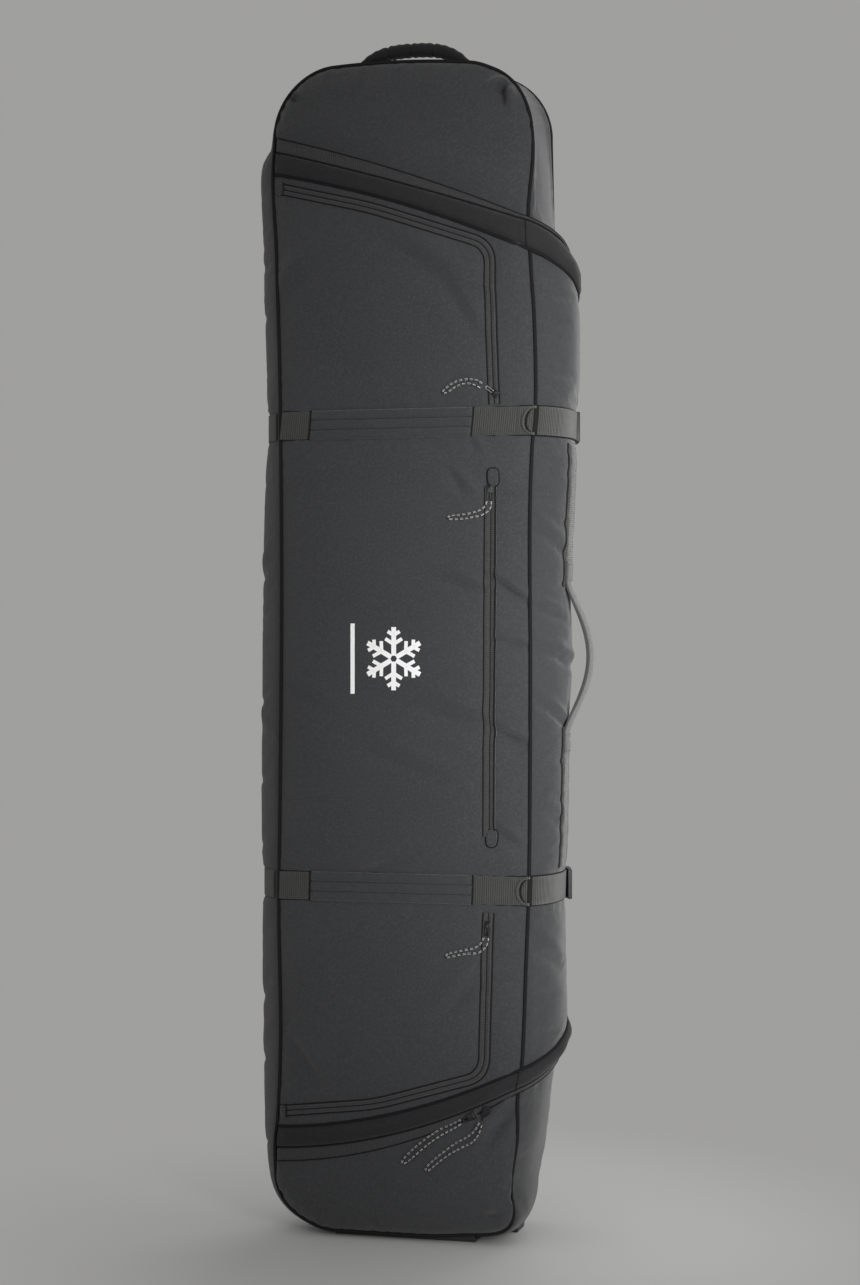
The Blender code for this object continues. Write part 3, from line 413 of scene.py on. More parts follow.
def grid_object(name, grid, looks, flip=False, wrap=False, uvs=None):
    """A sheet of quads through rows of points; wrap joins the last column to the first."""
    grid = np.asarray(grid, float)
    if wrap:
        grid = np.concatenate([grid, grid[:, :1]], axis=1)
    rows, columns = grid.shape[:2]
    uvs = arc_uvs(grid) if uvs is None else uvs
    width = columns - 1 if wrap else columns
    index = np.arange(rows)[:, None] * width + np.arange(columns)[None, :] % width
    corner = np.arange(rows * columns).reshape(rows, columns)

    def quads(table):
        stack = [table[:-1, :-1], table[:-1, 1:], table[1:, 1:], table[1:, :-1]]
        return np.stack(stack[::-1] if flip else stack, axis=-1).reshape(-1, 4)

    data = bpy.data.meshes.new(name)
    data.from_pydata(grid[:, :width].reshape(-1, 3).tolist(), [], quads(index).tolist())
    layer = data.uv_layers.new(name="UVMap")
    layer.uv.foreach_set("vector", uvs.reshape(-1, 2)[quads(corner).reshape(-1)].astype(np.float32).ravel())
    data.shade_smooth()
    return add_object(name, data, looks)


def capped(obj):
    """Closes the open ends of a wrapped grid."""
    bm = bmesh.new()
    bm.from_mesh(obj.data)
    edges = [e for e in bm.edges if e.is_boundary]
    bmesh.ops.holes_fill(bm, edges=edges, sides=0)
    bmesh.ops.recalc_face_normals(bm, faces=bm.faces)
    bm.to_mesh(obj.data)
    bm.free()
    return obj


def thick(obj, depth, lining=0):
    """Gives a sheet its thickness, inwards; lining is the place of the inner side's look in its looks."""
    solid = obj.modifiers.new("thickness", "SOLIDIFY")
    solid.thickness = depth
    solid.offset = -1
    solid.use_even_offset = False
    solid.material_offset = lining
    return obj


def coordinates(obj):
    """An object's vertices, as the rows of an array."""
    found = np.empty(len(obj.data.vertices) * 3, np.float32)
    obj.data.vertices.foreach_get("co", found)
    return found.reshape(-1, 3).astype(float)


def simulated_move(name, grid, freedom, push, cap, slack, flip):
    """Where a cloth simulation takes the points of a coarse sheet, as a grid of moves.

    freedom is 0 where the sheet is held; slack is how much larger the cloth is than its shape."""
    scene = bpy.context.scene
    sheet = grid_object(name + "_cloth", grid, [], flip=flip)
    group = sheet.vertex_groups.new(name="held")
    for i, free in enumerate(freedom.reshape(-1)):
        group.add([i], 1 - float(free), "REPLACE")
    scene.gravity = push
    scene.frame_set(1)
    cloth = sheet.modifiers.new("cloth", "CLOTH").settings
    cloth.quality = 6
    cloth.mass = 0.3
    cloth.tension_stiffness = cloth.compression_stiffness = 30
    cloth.shear_stiffness = 10
    cloth.bending_stiffness = 1.2
    cloth.vertex_group_mass = "held"
    cloth.shrink_min = -slack
    for number in range(1, CLOTH_FRAMES + 1):
        scene.frame_set(number)
    evaluated = sheet.evaluated_get(bpy.context.evaluated_depsgraph_get())
    moved = coordinates(evaluated) - coordinates(sheet)
    length = np.maximum(np.linalg.norm(moved, axis=1, keepdims=True), 1e-9)
    moved *= cap * np.tanh(length / cap) / length
    bpy.data.objects.remove(sheet)
    return moved.reshape(grid.shape)


def spread(values, knots, targets):
    """Catmull-Rom weights that carry a row of values at knots over to targets."""
    weights = np.zeros((len(targets), len(knots)))
    for row, t in enumerate(targets):
        k = min(max(int(np.searchsorted(knots, t)) - 1, 0), len(knots) - 2)
        s = (t - knots[k]) / (knots[k + 1] - knots[k])
        basis = (
            (k - 1, 0.5 * (-s + 2 * s**2 - s**3)),
            (k, 0.5 * (2 - 5 * s**2 + 3 * s**3)),
            (k + 1, 0.5 * (s + 4 * s**2 - 3 * s**3)),
            (k + 2, 0.5 * (s**3 - s**2)),
        )
        for i, weight in basis:
            weights[row, min(max(i, 0), len(knots) - 1)] += weight
    return np.tensordot(weights, values, axes=(1, 0))


def steps_between(length, cell):
    """Parameters 0 to 1 about a cell apart, closer together near both ends."""
    close = [0.0, 0.0008, 0.0018, 0.0030, 0.0046, 0.0070]
    inner = length - 2 * close[-1]
    count = max(2, round(inner / cell))
    middle = [close[-1] + inner * i / count for i in range(1, count)]
    places = close + middle + [length - c for c in close[::-1]]
    return np.array(places) / length


def soft_sheet(name, surface, size, looks, freedom=None, push=(0, 0, 0), cap=0.006, slack=0.008,
               flip=False, cell=0.0045, uv_of=None):
    """A sheet over surface(u, v), u across and v along, with simulated give where freedom says so.

    size is its rough width and length, which set how many cells it gets."""
    us, vs = (steps_between(length, cell) for length in size)
    grid = np.array([[surface(u, v) for u in us] for v in vs])
    if freedom:
        coarse_us, coarse_vs = (np.linspace(0, 1, max(8, round(length / CLOTH_CELL)) + 1) for length in size)
        coarse = np.array([[surface(u, v) for u in coarse_us] for v in coarse_vs])
        free = np.array([[freedom(u, v) for u in coarse_us] for v in coarse_vs])
        move = simulated_move(name, coarse, free, push, cap, slack, flip)
        move = spread(move, coarse_vs, vs)
        grid += spread(move.transpose(1, 0, 2), coarse_us, us).transpose(1, 0, 2)
    uvs = grid[:, :, [0, 2]] if uv_of == "front" else None
    return grid_object(name, grid, [LOOKS[look] for look in looks], flip=flip, uvs=uvs)


def coons(bottom, top, left, right):
    """(x, z) inside four edges, each a function of 0 to 1."""
    corners = {(a, b): np.array((bottom, top)[b](a)) for a in (0, 1) for b in (0, 1)}

    def at(u, v):
        edge_mean = (1 - v) * np.array(bottom(u)) + v * np.array(top(u))
        edge_mean = edge_mean + (1 - u) * np.array(left(v)) + u * np.array(right(v))
        shares = {(a, b): (u if a else 1 - u) * (v if b else 1 - v) for a, b in corners}
        return edge_mean - sum(share * corners[place] for place, share in shares.items())

    return at


def front_line(line):
    """A zip line as an edge: (x, z) for 0 at the left seam to 1 at the right one."""
    low, high = seam_x(-1, seam_height(line, -1)), seam_x(1, seam_height(line, 1))
    return lambda u: (low + (high - low) * u, line(low + (high - low) * u))


def side_line(side, low, high, g=0.0):
    """A side's edge from height low to high, at g from the front seam to the back one."""

    def at(v):
        z = low + (high - low) * v
        return seam_x(side, z, g), z

    return at


def end_line(top, g=0.0):
    """The outline from the left side round an end to the right side."""
    turn = 2 if top else -1
    start = 1 if top else 0
    radius = TOP_RADIUS if top else BOTTOM_RADIUS
    arc = radius * math.pi / 2
    left_end, right_end = station(-1, turn, g)[0], station(1, turn, g)[0]
    total = 2 * arc + right_end - left_end

    def at(u):
        walked = u * total
        if walked < arc:
            return station(-1, start + (turn - start) * walked / arc, g)[:2]
        if walked > total - arc:
            return station(1, start + (turn - start) * (total - walked) / arc, g)[:2]
        x = left_end + walked - arc
        z = TOP + top_crown(x, g) if top else BOTTOM + bottom_rise(x)
        return x, z

    return at


# ---- Materials -----------------------------------------------------------------------------------
class Nodes:
    """A short way to write a node tree."""

    def __init__(self, name):
        self.material = bpy.data.materials.new(name)
        self.material.use_nodes = True
        self.tree = self.material.node_tree
        self.shader = self.tree.nodes["Principled BSDF"]

    def add(self, kind, links=(), **values):
        node = self.tree.nodes.new("ShaderNode" + kind)
        for key, value in values.items():
            if hasattr(node, key):
                setattr(node, key, value)
            else:
                node.inputs[key.replace("_", " ")].default_value = value
        for socket, source in dict(links).items():
            self.link(source, node.inputs[socket])
        return node

    def link(self, source, target):
        if isinstance(source, bpy.types.Node):
            source = source.outputs[0]
        self.tree.links.new(source, target)

    def math(self, operation, a, b=0.0, c=0.0, clamp=False):
        node = self.tree.nodes.new("ShaderNodeMath")
        node.operation = operation
        node.use_clamp = clamp
        for socket, value in zip(node.inputs, (a, b, c)):
            if isinstance(value, (int, float)):
                socket.default_value = value
            else:
                self.link(value, socket)
        return node

    def mix(self, factor, a, b):
        """A colour mix; a and b are colours or sources."""
        node = self.tree.nodes.new("ShaderNodeMix")
        node.data_type = "RGBA"
        for index, value in ((0, factor), (6, a), (7, b)):
            socket = node.inputs[index]
            if isinstance(value, (int, float)):
                socket.default_value = value
            elif isinstance(value, tuple):
                socket.default_value = (*value, 1)
            else:
                self.link(value, socket)
        return node.outputs[2]

    def noise(self, vector, scale, detail=3.0, roughness=0.55):
        node = self.add("TexNoise", {"Vector": vector}, Scale=scale, Detail=detail, Roughness=roughness)
        return node.outputs[0]

    def bump(self, height, distance, normal=None):
        node = self.add("Bump", {"Height": height}, Distance=distance)
        if normal:
            self.link(normal, node.inputs["Normal"])
        return node

    def worn(self, edge, strength):
        """A mask of the ridges, which are rubbed lighter."""
        ridge = self.add("NewGeometry").outputs["Pointiness"]
        return self.math("MULTIPLY", self.math("SUBTRACT", ridge, edge), strength, clamp=True)

    def finished(self, **values):
        for key, value in values.items():
            self.shader.inputs[key.replace("_", " ")].default_value = value
        return self.material


def shaded(colour, factor, most=math.inf):
    """A colour times a factor, with no part of it above most."""
    return tuple(min(most, c * factor) for c in colour)


def woven(name, colour, thread=0.0007, weave=0.00006, mottling=0.14, crumple=0.0013, roughness=0.82,
          sheen=0.25, ribs=None):
    """Woven cloth: threads over and under by UV, a mottled dye, small creases and lighter worn ridges; on
    ribbed cloth, painted shade darkens the valleys between the ribs.

    ribs is the pitch of the cross ribs of webbing, along its length."""
    n = Nodes(name)
    uv = n.add("UVMap", uv_map="UVMap").outputs[0]
    place = n.add("TexCoord").outputs["Object"]
    split = n.add("SeparateXYZ", {0: uv})
    turns = 2 * math.pi / thread
    warp = n.math("SINE", n.math("MULTIPLY", split.outputs[0], turns))
    weft = n.math("SINE", n.math("MULTIPLY", split.outputs[1], 2 * math.pi / ribs if ribs else turns))
    cloth = n.math("MULTIPLY", warp, weft)
    if ribs:
        cloth = n.math("ADD", weft, n.math("MULTIPLY", cloth, 0.35))
    tone = n.noise(place, 7.0, 4.0)
    specks = n.noise(place, 320.0, 3.0, 0.8)
    drawn = n.add("VectorMath", {0: uv}, operation="MULTIPLY")
    drawn.inputs[1].default_value = (2.0, 14.0, 1.0)
    slubs = n.noise(drawn, 60.0, 2.0, 0.6)
    dark, light = shaded(colour, 1 - mottling), shaded(colour, 1 + mottling)
    base = n.mix(n.math("MULTIPLY_ADD", tone, 1.6, -0.3, clamp=True), dark, light)
    fleck = n.math("MULTIPLY_ADD", specks, 3.6, -1.60, clamp=True)
    speckled = n.mix(n.math("MULTIPLY", fleck, 0.7), base, shaded(colour, 1.9, 1.0))
    streaked = n.mix(n.math("MULTIPLY", slubs, 0.20), speckled, dark)
    if ribs:
        # Painted shade: the valleys between the ribs are darkened towards a third of the colour
        rib_valley_shade = n.math("MULTIPLY_ADD", weft, -0.4, 0.4)
        streaked = n.mix(rib_valley_shade, streaked, shaded(colour, 0.35))
    n.link(n.mix(n.worn(0.53, 4.0), streaked, shaded(colour, 1.7)), n.shader.inputs["Base Color"])
    soft = n.bump(n.noise(place, 30.0, 4.0, 0.6), crumple)
    n.link(n.bump(cloth, weave, normal=soft), n.shader.inputs["Normal"])
    return n.finished(Roughness=roughness, Specular_IOR_Level=0.35, Sheen_Weight=sheen, Sheen_Roughness=0.5)


def moulded(name, colour, roughness=0.45, grain=0.00008, metallic=0.0, wear=0.35):
    """Moulded plastic, rubber or metal with a fine grain, rubbed lighter and smoother on its edges."""
    n = Nodes(name)
    place = n.add("TexCoord").outputs["Object"]
    base = n.mix(n.noise(place, 24.0, 3.0), shaded(colour, 0.85), shaded(colour, 1.15, 1.0))
    rubbed = tuple(min(1.0, c * 1.5 + 0.02) for c in colour)
    n.link(n.mix(n.math("MULTIPLY", n.worn(0.54, 5.0), wear), base, rubbed), n.shader.inputs["Base Color"])
    rough = n.add("MapRange", {0: n.noise(place, 60.0, 4.0)}, From_Min=0.3, From_Max=0.7)
    rough.inputs["To Min"].default_value = roughness - 0.07
    rough.inputs["To Max"].default_value = roughness + 0.09
    n.link(rough, n.shader.inputs["Roughness"])
    n.link(n.bump(n.noise(place, 900.0, 2.0), grain), n.shader.inputs["Normal"])
    return n.finished(Metallic=metallic)


def flecked(name, pitch=0.0030, pair=0.0072):
    """Braided cord: diagonal plaits by UV (turns, metres), and paired pale flecks on black."""
    n = Nodes(name)
    split = n.add("SeparateXYZ", {0: n.add("UVMap", uv_map="UVMap").outputs[0]})
    around, lengthwise = split.outputs[0], split.outputs[1]
    travel = n.math("MULTIPLY", lengthwise, 2 * math.pi / pitch)
    turn = n.math("MULTIPLY", around, 4 * math.pi)
    left = n.math("SINE", n.math("ADD", travel, turn))
    right = n.math("SINE", n.math("SUBTRACT", travel, turn))
    fleck = n.math("GREATER_THAN", n.math("MULTIPLY", left, right), 0.30)
    wave = n.math("SINE", n.math("MULTIPLY", lengthwise, 2 * math.pi / pair))
    shown = n.math("MULTIPLY", fleck, n.math("GREATER_THAN", wave, -0.35))
    n.link(n.mix(shown, (0.012, 0.012, 0.013), (0.90, 0.90, 0.88)), n.shader.inputs["Base Color"])
    n.link(n.bump(n.math("MAXIMUM", left, right), 0.00035), n.shader.inputs["Normal"])
    return n.finished(Roughness=0.75, Sheen_Weight=0.2)


METAL = {"grain": 0.00002, "metallic": 1.0}
LOOKS = {
    "shell": woven("shell_cloth", (0.036, 0.037, 0.040)),
    "side": woven("side_cloth", (0.035, 0.036, 0.039)),
    "roll": woven("roll_cloth", (0.015, 0.015, 0.016), mottling=0.07, sheen=0.10),
    "grip": woven("grip_cloth", (0.010, 0.010, 0.011), mottling=0.2, sheen=0.10, crumple=0.0016),
    "back": woven("back_cloth", (0.026, 0.027, 0.029), thread=0.0022, weave=0.00016, crumple=0.0003),
    "lining": woven("lining_cloth", (0.075, 0.078, 0.083), thread=0.0006, weave=0.00003, roughness=0.6),
    "webbing": woven("webbing_weave", (0.058, 0.060, 0.056), thread=0.0026, weave=0.00030, ribs=0.0030,
                     crumple=0.0002, mottling=0.12),
    "tape": woven("tape_weave", (0.047, 0.048, 0.047), thread=0.0011, weave=0.00018, ribs=0.0028,
                  crumple=0.0001, mottling=0.08),
    "stitch": woven("stitch_thread", (0.030, 0.031, 0.033), thread=0.0004, weave=0.00004, crumple=0.00001),
    # gap: near black; painted shade in the seams, gaps, channels and behind webbing, and also the real black
    # of the zip coils
    "gap": woven("painted_shade_and_coil_black", (0.004, 0.004, 0.0045), sheen=0.0),
    "print": woven("white_print", (0.98, 0.98, 0.98), weave=0.00004, mottling=0.02, roughness=0.5, sheen=0.0,
                   crumple=0.0002),
    "plastic": moulded("base_plastic", (0.020, 0.020, 0.021)),
    "buckle": moulded("buckle_plastic", (0.010, 0.010, 0.011), roughness=0.60, grain=0.00003),
    "stiffener": moulded("stiffener_sheet", (0.30, 0.30, 0.30), roughness=0.5),
    "metal": moulded("slider_metal", (0.055, 0.055, 0.058), roughness=0.32, wear=0.8, **METAL),
    "bright": moulded("tab_metal", (0.55, 0.55, 0.56), roughness=0.28, wear=0.6, **METAL),
    "steel": moulded("zinc_steel", (0.60, 0.60, 0.62), roughness=0.30, **METAL),
    "tyre": moulded("tyre_rubber", (0.016, 0.016, 0.017), roughness=0.6, grain=0.0001),
    "hub": moulded("hub_nylon", (0.55, 0.55, 0.53), roughness=0.45),
    "cord": flecked("flecked_cord"),
}


def dress(obj, body, replaced=()):
    """Rides on a body and hides the CAD nodes it replaces, where there are any."""
    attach(obj, body)
    if replaced:
        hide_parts(*replaced)
    return obj


# ---- The soft shell ------------------------------------------------------------------------------
def face_point(x, z, rise, crown):
    """A point of a front panel: rise is 0 in the seam and 1 on the face, crown how far the face swells."""
    seam = front_y(z) + SEAM_DEPTH - SEAM_RIM
    face = front_y(z) - PANEL_LIFT - crown + FRONT_FOLDING * pressed(FRONT_FOLDS, x, z)
    return (x, seam + (face - seam) * rise, z)


def panel_surface(patch, seams, puff, gate=lambda z: 1.0):
    """A front panel over a patch. seams are the (left, right, bottom, top) edges that sink into a seam."""
    widths, heights = {}, {}  # the patch's measures at each v and at each u, found once

    def surface(u, v):
        x, z = patch(u, v)
        if v not in widths:
            widths[v] = np.linalg.norm(patch(1, v) - patch(0, v))
        if u not in heights:
            heights[u] = np.linalg.norm(patch(u, 1) - patch(u, 0))
        width, height = widths[v], heights[u]
        distances = (u * width, (1 - u) * width, v * height, (1 - v) * height)
        rise = 1.0
        for sunk, distance in zip(seams, distances):
            if sunk:
                rise *= groove(distance)
        round_off = (1 - abs(2 * u - 1) ** 3.2) * (1 - abs(2 * v - 1) ** 6)
        return face_point(x, z, rise, puff * round_off * gate(z))

    return surface


def padded_sheet(sheet, body, nodes):
    """A sheet with its padding and lining, in place of its CAD nodes."""
    return dress(thick(sheet, PADDING, lining=1), body, nodes)


def edge_freedom(u, v, size, margin=0.010):
    """0 at the sheet's edges, 1 a margin away from them."""
    distance = min(u * size[0], (1 - u) * size[0], v * size[1], (1 - v) * size[1])
    return min(1.0, max(0.0, distance / margin - 0.3))


def door_freedom(patch):
    """The door's front is held at its edges and straps and, more loosely, beside its pocket zips."""

    def freedom(u, v):
        x, z = patch(u, v)
        near_zip = min(route_distance(route, (x, z)) for route in POCKET_ROUTES.values())
        beside_zip = 0.25 + 0.75 * min(1.0, near_zip / 0.020)
        return edge_freedom(u, v, DOOR_SIZE) * off_straps(z, 0.003) * beside_zip

    return freedom


def route_distance(route, point):
    """Distance from an (x, z) point to a polyline."""
    best = 1.0
    p = np.array(point)
    for a, b in zip(route, route[1:]):
        a, b = np.array(a), np.array(b)
        t = min(1.0, max(0.0, float(np.dot(p - a, b - a) / np.dot(b - a, b - a))))
        best = min(best, float(np.linalg.norm(p - a - (b - a) * t)))
    return best


def make_door_front():
    left = side_line(-1, seam_height(lower_zip, -1), seam_height(upper_zip, -1))
    right = side_line(1, seam_height(lower_zip), seam_height(upper_zip))
    patch = coons(front_line(lower_zip), front_line(upper_zip), left, right)
    surface = panel_surface(patch, (True, True, False, False), 0.0065, strap_gate)
    sheet = soft_sheet("door_front", surface, DOOR_SIZE, ("shell", "lining"), door_freedom(patch),
                       push=(0.0, -16.0, -4.0), cap=0.006, slack=0.012, uv_of="front")
    return padded_sheet(sheet, "door", ["door_panel"])


def make_cap(end, edges, size, seams, puff):
    """The front of the upper or lower end cap, between its four edges."""
    surface = panel_surface(coons(*edges), seams, puff)
    sheet = soft_sheet(end + "_cap_front", surface, size, ("shell", "lining"),
                       lambda u, v: edge_freedom(u, v, size), push=(0.0, -14.0, -3.0), cap=0.005,
                       slack=0.016, uv_of="front", cell=0.004)
    return padded_sheet(sheet, "bag_body", [end + "_cap_panel"])


def make_caps():
    foot, shoulder = BOTTOM + BOTTOM_RADIUS, TOP - TOP_RADIUS
    left = side_line(-1, seam_height(upper_tape_top, -1), shoulder)
    right = side_line(1, seam_height(upper_tape_top), shoulder)
    edges = (front_line(upper_tape_top), end_line(True), left, right)
    upper = make_cap("upper", edges, (0.40, 0.16), (True, True, False, True), 0.009)
    left = side_line(-1, foot, seam_height(lower_tape_foot, -1))
    right = side_line(1, foot, seam_height(lower_tape_foot))
    edges = (end_line(False), front_line(lower_tape_foot), left, right)
    lower = make_cap("lower", edges, (0.40, 0.15), (True, True, True, False), 0.010)
    return [upper, lower]


def across_rim(z, g):
    """(y, rise) on the wall between its seams: rise is 0 in a seam and 1 out of it."""
    first, last = front_y(z) + SEAM_DEPTH - SEAM_RIM, back_y(z) - SEAM_DEPTH + SEAM_RIM
    depth = last - first
    return first + depth * g, groove(g * depth) * groove((1 - g) * depth)


def rim_point(side, level, g, bulge):
    """A point of the side wall: it rises out of both seams and bulges between them."""
    x, z, nx, nz = station(side, level, g)
    y, rise = across_rim(z, g)
    fold = -pressed(RIGHT_FOLDS, y, z) * beside_strip(y, z) if side > 0 else -pressed(LEFT_FOLDS, y, z)
    out = (SIDE_LIFT + fold) * rise + bulge * rim_crown(g)
    return (x + nx * out, y, z + nz * out)


def top_point(x, g, bulge):
    """A point of the wall's run over the top."""
    y, rise = across_rim(TOP, g)
    return (x, y, TOP + top_crown(x, g) + SIDE_LIFT * rise + bulge * rim_crown(g))


def make_body_rim():
    """The wall from the left bottom corner up the left side, over the top and down to the zip."""
    shoulder = TOP - TOP_RADIUS
    bottom_arc, top_arc = BOTTOM_RADIUS * math.pi / 2, TOP_RADIUS * math.pi / 2
    left_end, right_end = station(-1, 2, 0)[0], station(1, 2, 0)[0]
    cut = seam_height(upper_tape_top) + 0.001
    side_length = shoulder - BOTTOM - BOTTOM_RADIUS
    stretches = (bottom_arc, side_length, top_arc, right_end - left_end, top_arc, shoulder - cut)
    total = sum(stretches)

    def surface(g, v):
        walked = v * total
        for part, length in enumerate(stretches):
            if walked <= length or part == len(stretches) - 1:
                break
            walked -= length
        t = walked / length
        if part < 3:
            level = (-1 + t, t, 1 + t)[part]
            return rim_point(-1, level, g, eased(LEFT_BULGE, station(-1, level, g)[1]))
        if part == 3:
            low, high = station(-1, 2, g)[0], station(1, 2, g)[0]
            return top_point(low + (high - low) * t, g, eased(LEFT_BULGE, TOP))
        if part == 4:
            return rim_point(1, 2 - t, g, eased(CAP_BULGE, station(1, 2 - t, g)[1]))
        z = shoulder + (cut + UPPER_FALL * g * depth_at(cut) - TOP + TOP_RADIUS) * t
        return rim_point(1, level_of(z), g, eased(CAP_BULGE, z))

    size = (0.19, total)

    def freedom(g, v):
        return edge_freedom(g, v, size, 0.016) * off_straps(surface(g, v)[2], 0.004)

    sheet = soft_sheet("body_side", surface, size, ("side", "lining"), freedom,
                       push=(-14.0, 0.0, -3.0), cap=0.005, slack=0.012, flip=True, cell=0.0055)
    nodes = ["lower_left_corner", "left_gusset", "upper_left_corner", "top_gusset", "upper_right_corner"]
    return padded_sheet(sheet, "bag_body", nodes)


def make_lower_right_rim():
    """The wall round the lower right corner, up to the zip."""
    cut = seam_height(lower_tape_foot) - 0.001
    low = BOTTOM + BOTTOM_RADIUS
    arc = BOTTOM_RADIUS * math.pi / 2
    climb = cut - BOTTOM - BOTTOM_RADIUS
    total = arc + climb

    def surface(g, v):
        walked = v * total
        if walked < arc:
            level = -1 + walked / arc
            return rim_point(1, level, g, eased(CAP_BULGE, station(1, level, g)[1]))
        z = low + (cut + LOWER_RISE * g * depth_at(cut) - low) * (walked - arc) / climb
        return rim_point(1, level_of(z), g, eased(CAP_BULGE, z))

    size = (0.17, total)
    sheet = soft_sheet("lower_right_side", surface, size, ("side", "lining"),
                       lambda u, v: edge_freedom(u, v, size), push=(12.0, 0.0, -3.0), cap=0.005,
                       slack=0.016, cell=0.0045)
    return padded_sheet(sheet, "bag_body", ["lower_right_corner"])


def door_side_point(g, t):
    """A point of the door's side: g runs from the front seam to the rear zip, t up it."""
    low, high = seam_height(lower_zip), seam_height(upper_zip)
    z_front = low + (high - low) * t
    slope = LOWER_RISE + (UPPER_FALL - LOWER_RISE) * t
    z = z_front + slope * g * depth_at(z_front)
    return rim_point(1, level_of(z), g, eased(RIGHT_BULGE, z))


def make_door_side():
    size = (0.18, 1.12)

    def surface(u, v):
        return door_side_point(u * DOOR_SIDE_END, v)

    def freedom(u, v):
        z = surface(u, v)[2]
        on_strip = math.exp(-(((u - 0.53) / 0.10) ** 4)) if 0.50 < z < 1.10 else 0.0
        return edge_freedom(u, v, size, 0.014) * off_straps(z, 0.004) * (1 - 0.8 * on_strip)

    sheet = soft_sheet("door_side", surface, size, ("side", "lining"), freedom,
                       push=(14.0, 0.0, -4.0), cap=0.006, slack=0.014, cell=0.0045)
    return padded_sheet(sheet, "door", ["door_gusset"])


def make_back():
    """The back above its heel, nearly flat between its seams."""
    low, high = HEEL + 0.001, TOP - TOP_RADIUS
    left_foot, right_foot = seam_x(-1, low, 1.0), seam_x(1, low, 1.0)

    def foot(u):
        return left_foot + (right_foot - left_foot) * u, low

    patch = coons(foot, end_line(True, 1.0), side_line(-1, low, high, 1.0), side_line(1, low, high, 1.0))

    def surface(u, v):
        x, z = patch(u, v)
        width = np.linalg.norm(patch(1, v) - patch(0, v))
        height = np.linalg.norm(patch(u, 1) - patch(u, 0))
        rise = groove(u * width) * groove((1 - u) * width) * groove((1 - v) * height)
        seam = back_y(z) - SEAM_DEPTH + SEAM_RIM
        face = back_y(z) + 0.0003
        return (x, seam + (face - seam) * rise, z)

    sheet = soft_sheet("back_shell", surface, (0.40, 1.45), ("back", "lining"), flip=True, cell=0.008,
                       uv_of="front")
    padded_sheet(sheet, "bag_body", ["back_panel"])


def make_shell():
    """The padded sheets; the front ones and the side ones are returned for what lies on them."""
    fronts = [make_door_front()] + make_caps()
    sides = [make_body_rim(), make_lower_right_rim(), make_door_side()]
    make_back()
    return fronts, sides


# ---- Laying things on the soft faces -------------------------------------------------------------
def tree_of(sheets):
    """A ray-cast tree over the outer faces of some sheets."""
    verts, faces = [], []
    for sheet in sheets:
        start = len(verts)
        verts += [v.co.copy() for v in sheet.data.vertices]
        faces += [[start + i for i in face.vertices] for face in sheet.data.polygons]
    return BVHTree.FromPolygons(verts, faces)


def on_front(x, z, lift=0.0):
    """The point of the front's fabric at (x, z), a lift out of it."""
    hit = front_tree.ray_cast(Vector((x, -1.0, z)), Vector((0, 1, 0)))[0]
    y = hit.y if hit and hit.y < 0 else front_y(z)
    return Vector((x, y - lift, z))


def on_side(y, z, lift=0.0):
    """The point of the right side's fabric at (y, z), a lift out of it."""
    hit = side_tree.ray_cast(Vector((1.0, y, z)), Vector((-1, 0, 0)))[0]
    x = hit.x if hit and hit.x > 0 else half_width(z)
    return Vector((x + lift, y, z))


def bare_wrap(z, s):
    """(x, y) on the right side's smooth shape: s is the way from the front seam, negative on the front."""
    first, depth = front_y(z), depth_at(z)

    def front(way):
        return np.array([seam_x(1, z) + way, first - PANEL_LIFT])

    def side(way):
        g = min(way / depth, 1.0)
        return np.array([seam_x(1, z, g) + SIDE_LIFT + eased(RIGHT_BULGE, z) * rim_crown(g), first + way])

    if s <= -TURN:
        return front(s)
    if s >= TURN:
        return side(s)
    t = (s + TURN) / (2 * TURN)
    corner = np.array([seam_x(1, z) + 0.003, first - PANEL_LIFT])
    return (1 - t) ** 2 * front(-TURN) + 2 * t * (1 - t) * corner + t * t * side(TURN)


def wrapped(z, s, lift):
    """A point a lift out of the smooth shape that bare_wrap gives."""
    step = 0.0008
    here, ahead, behind = (bare_wrap(z, s + d) for d in (0.0, step, -step))
    tangent = ahead - behind
    tangent /= max(float(np.linalg.norm(tangent)), 1e-9)
    return Vector((here[0] + tangent[1] * lift, here[1] - tangent[0] * lift, z))


def normal_at(path, i):
    """The direction to the left of a path of pairs, at its point i."""
    ahead, behind = path[min(i + 1, len(path) - 1)], path[max(i - 1, 0)]
    tangent = (ahead - behind) / np.linalg.norm(ahead - behind)
    return np.array([-tangent[1], tangent[0]])


# ---- Strips, tubes, stitches ---------------------------------------------------------------------
def tube_rows(points, radius, sides):
    """Rings round a path, without twist, and the length walked at each."""
    points = [Vector(p) for p in points]
    last = len(points) - 1
    tangents = [(points[min(i + 1, last)] - points[max(i - 1, 0)]).normalized() for i in range(last + 1)]
    normal = tangents[0].orthogonal().normalized()
    turns = [2 * math.pi * k / sides for k in range(sides)]
    rows, walked, lengths = [], 0.0, []
    for i, (point, tangent) in enumerate(zip(points, tangents)):
        normal = (normal - tangent * normal.dot(tangent)).normalized()
        other = tangent.cross(normal)
        rows.append([point + (normal * math.cos(a) + other * math.sin(a)) * radius for a in turns])
        if i:
            walked += (point - points[i - 1]).length
        lengths.append(walked)
    return rows, lengths


def tube(name, points, radius, look, sides=8):
    """A closed round tube along a path, with UVs of (turns, metres)."""
    rows, lengths = tube_rows(points, radius, sides)
    around = np.arange(sides + 1) / sides
    uvs = np.array([[(u, length) for u in around] for length in lengths])
    return capped(grid_object(name, rows, [LOOKS[look]], wrap=True, uvs=uvs))


def dark_line(name, points, radius, body):
    """Painted shade in a seam, a gap or a channel, or a black zip coil, as a thin black tube."""
    dress(tube(name, points, radius, "gap", 6), body)


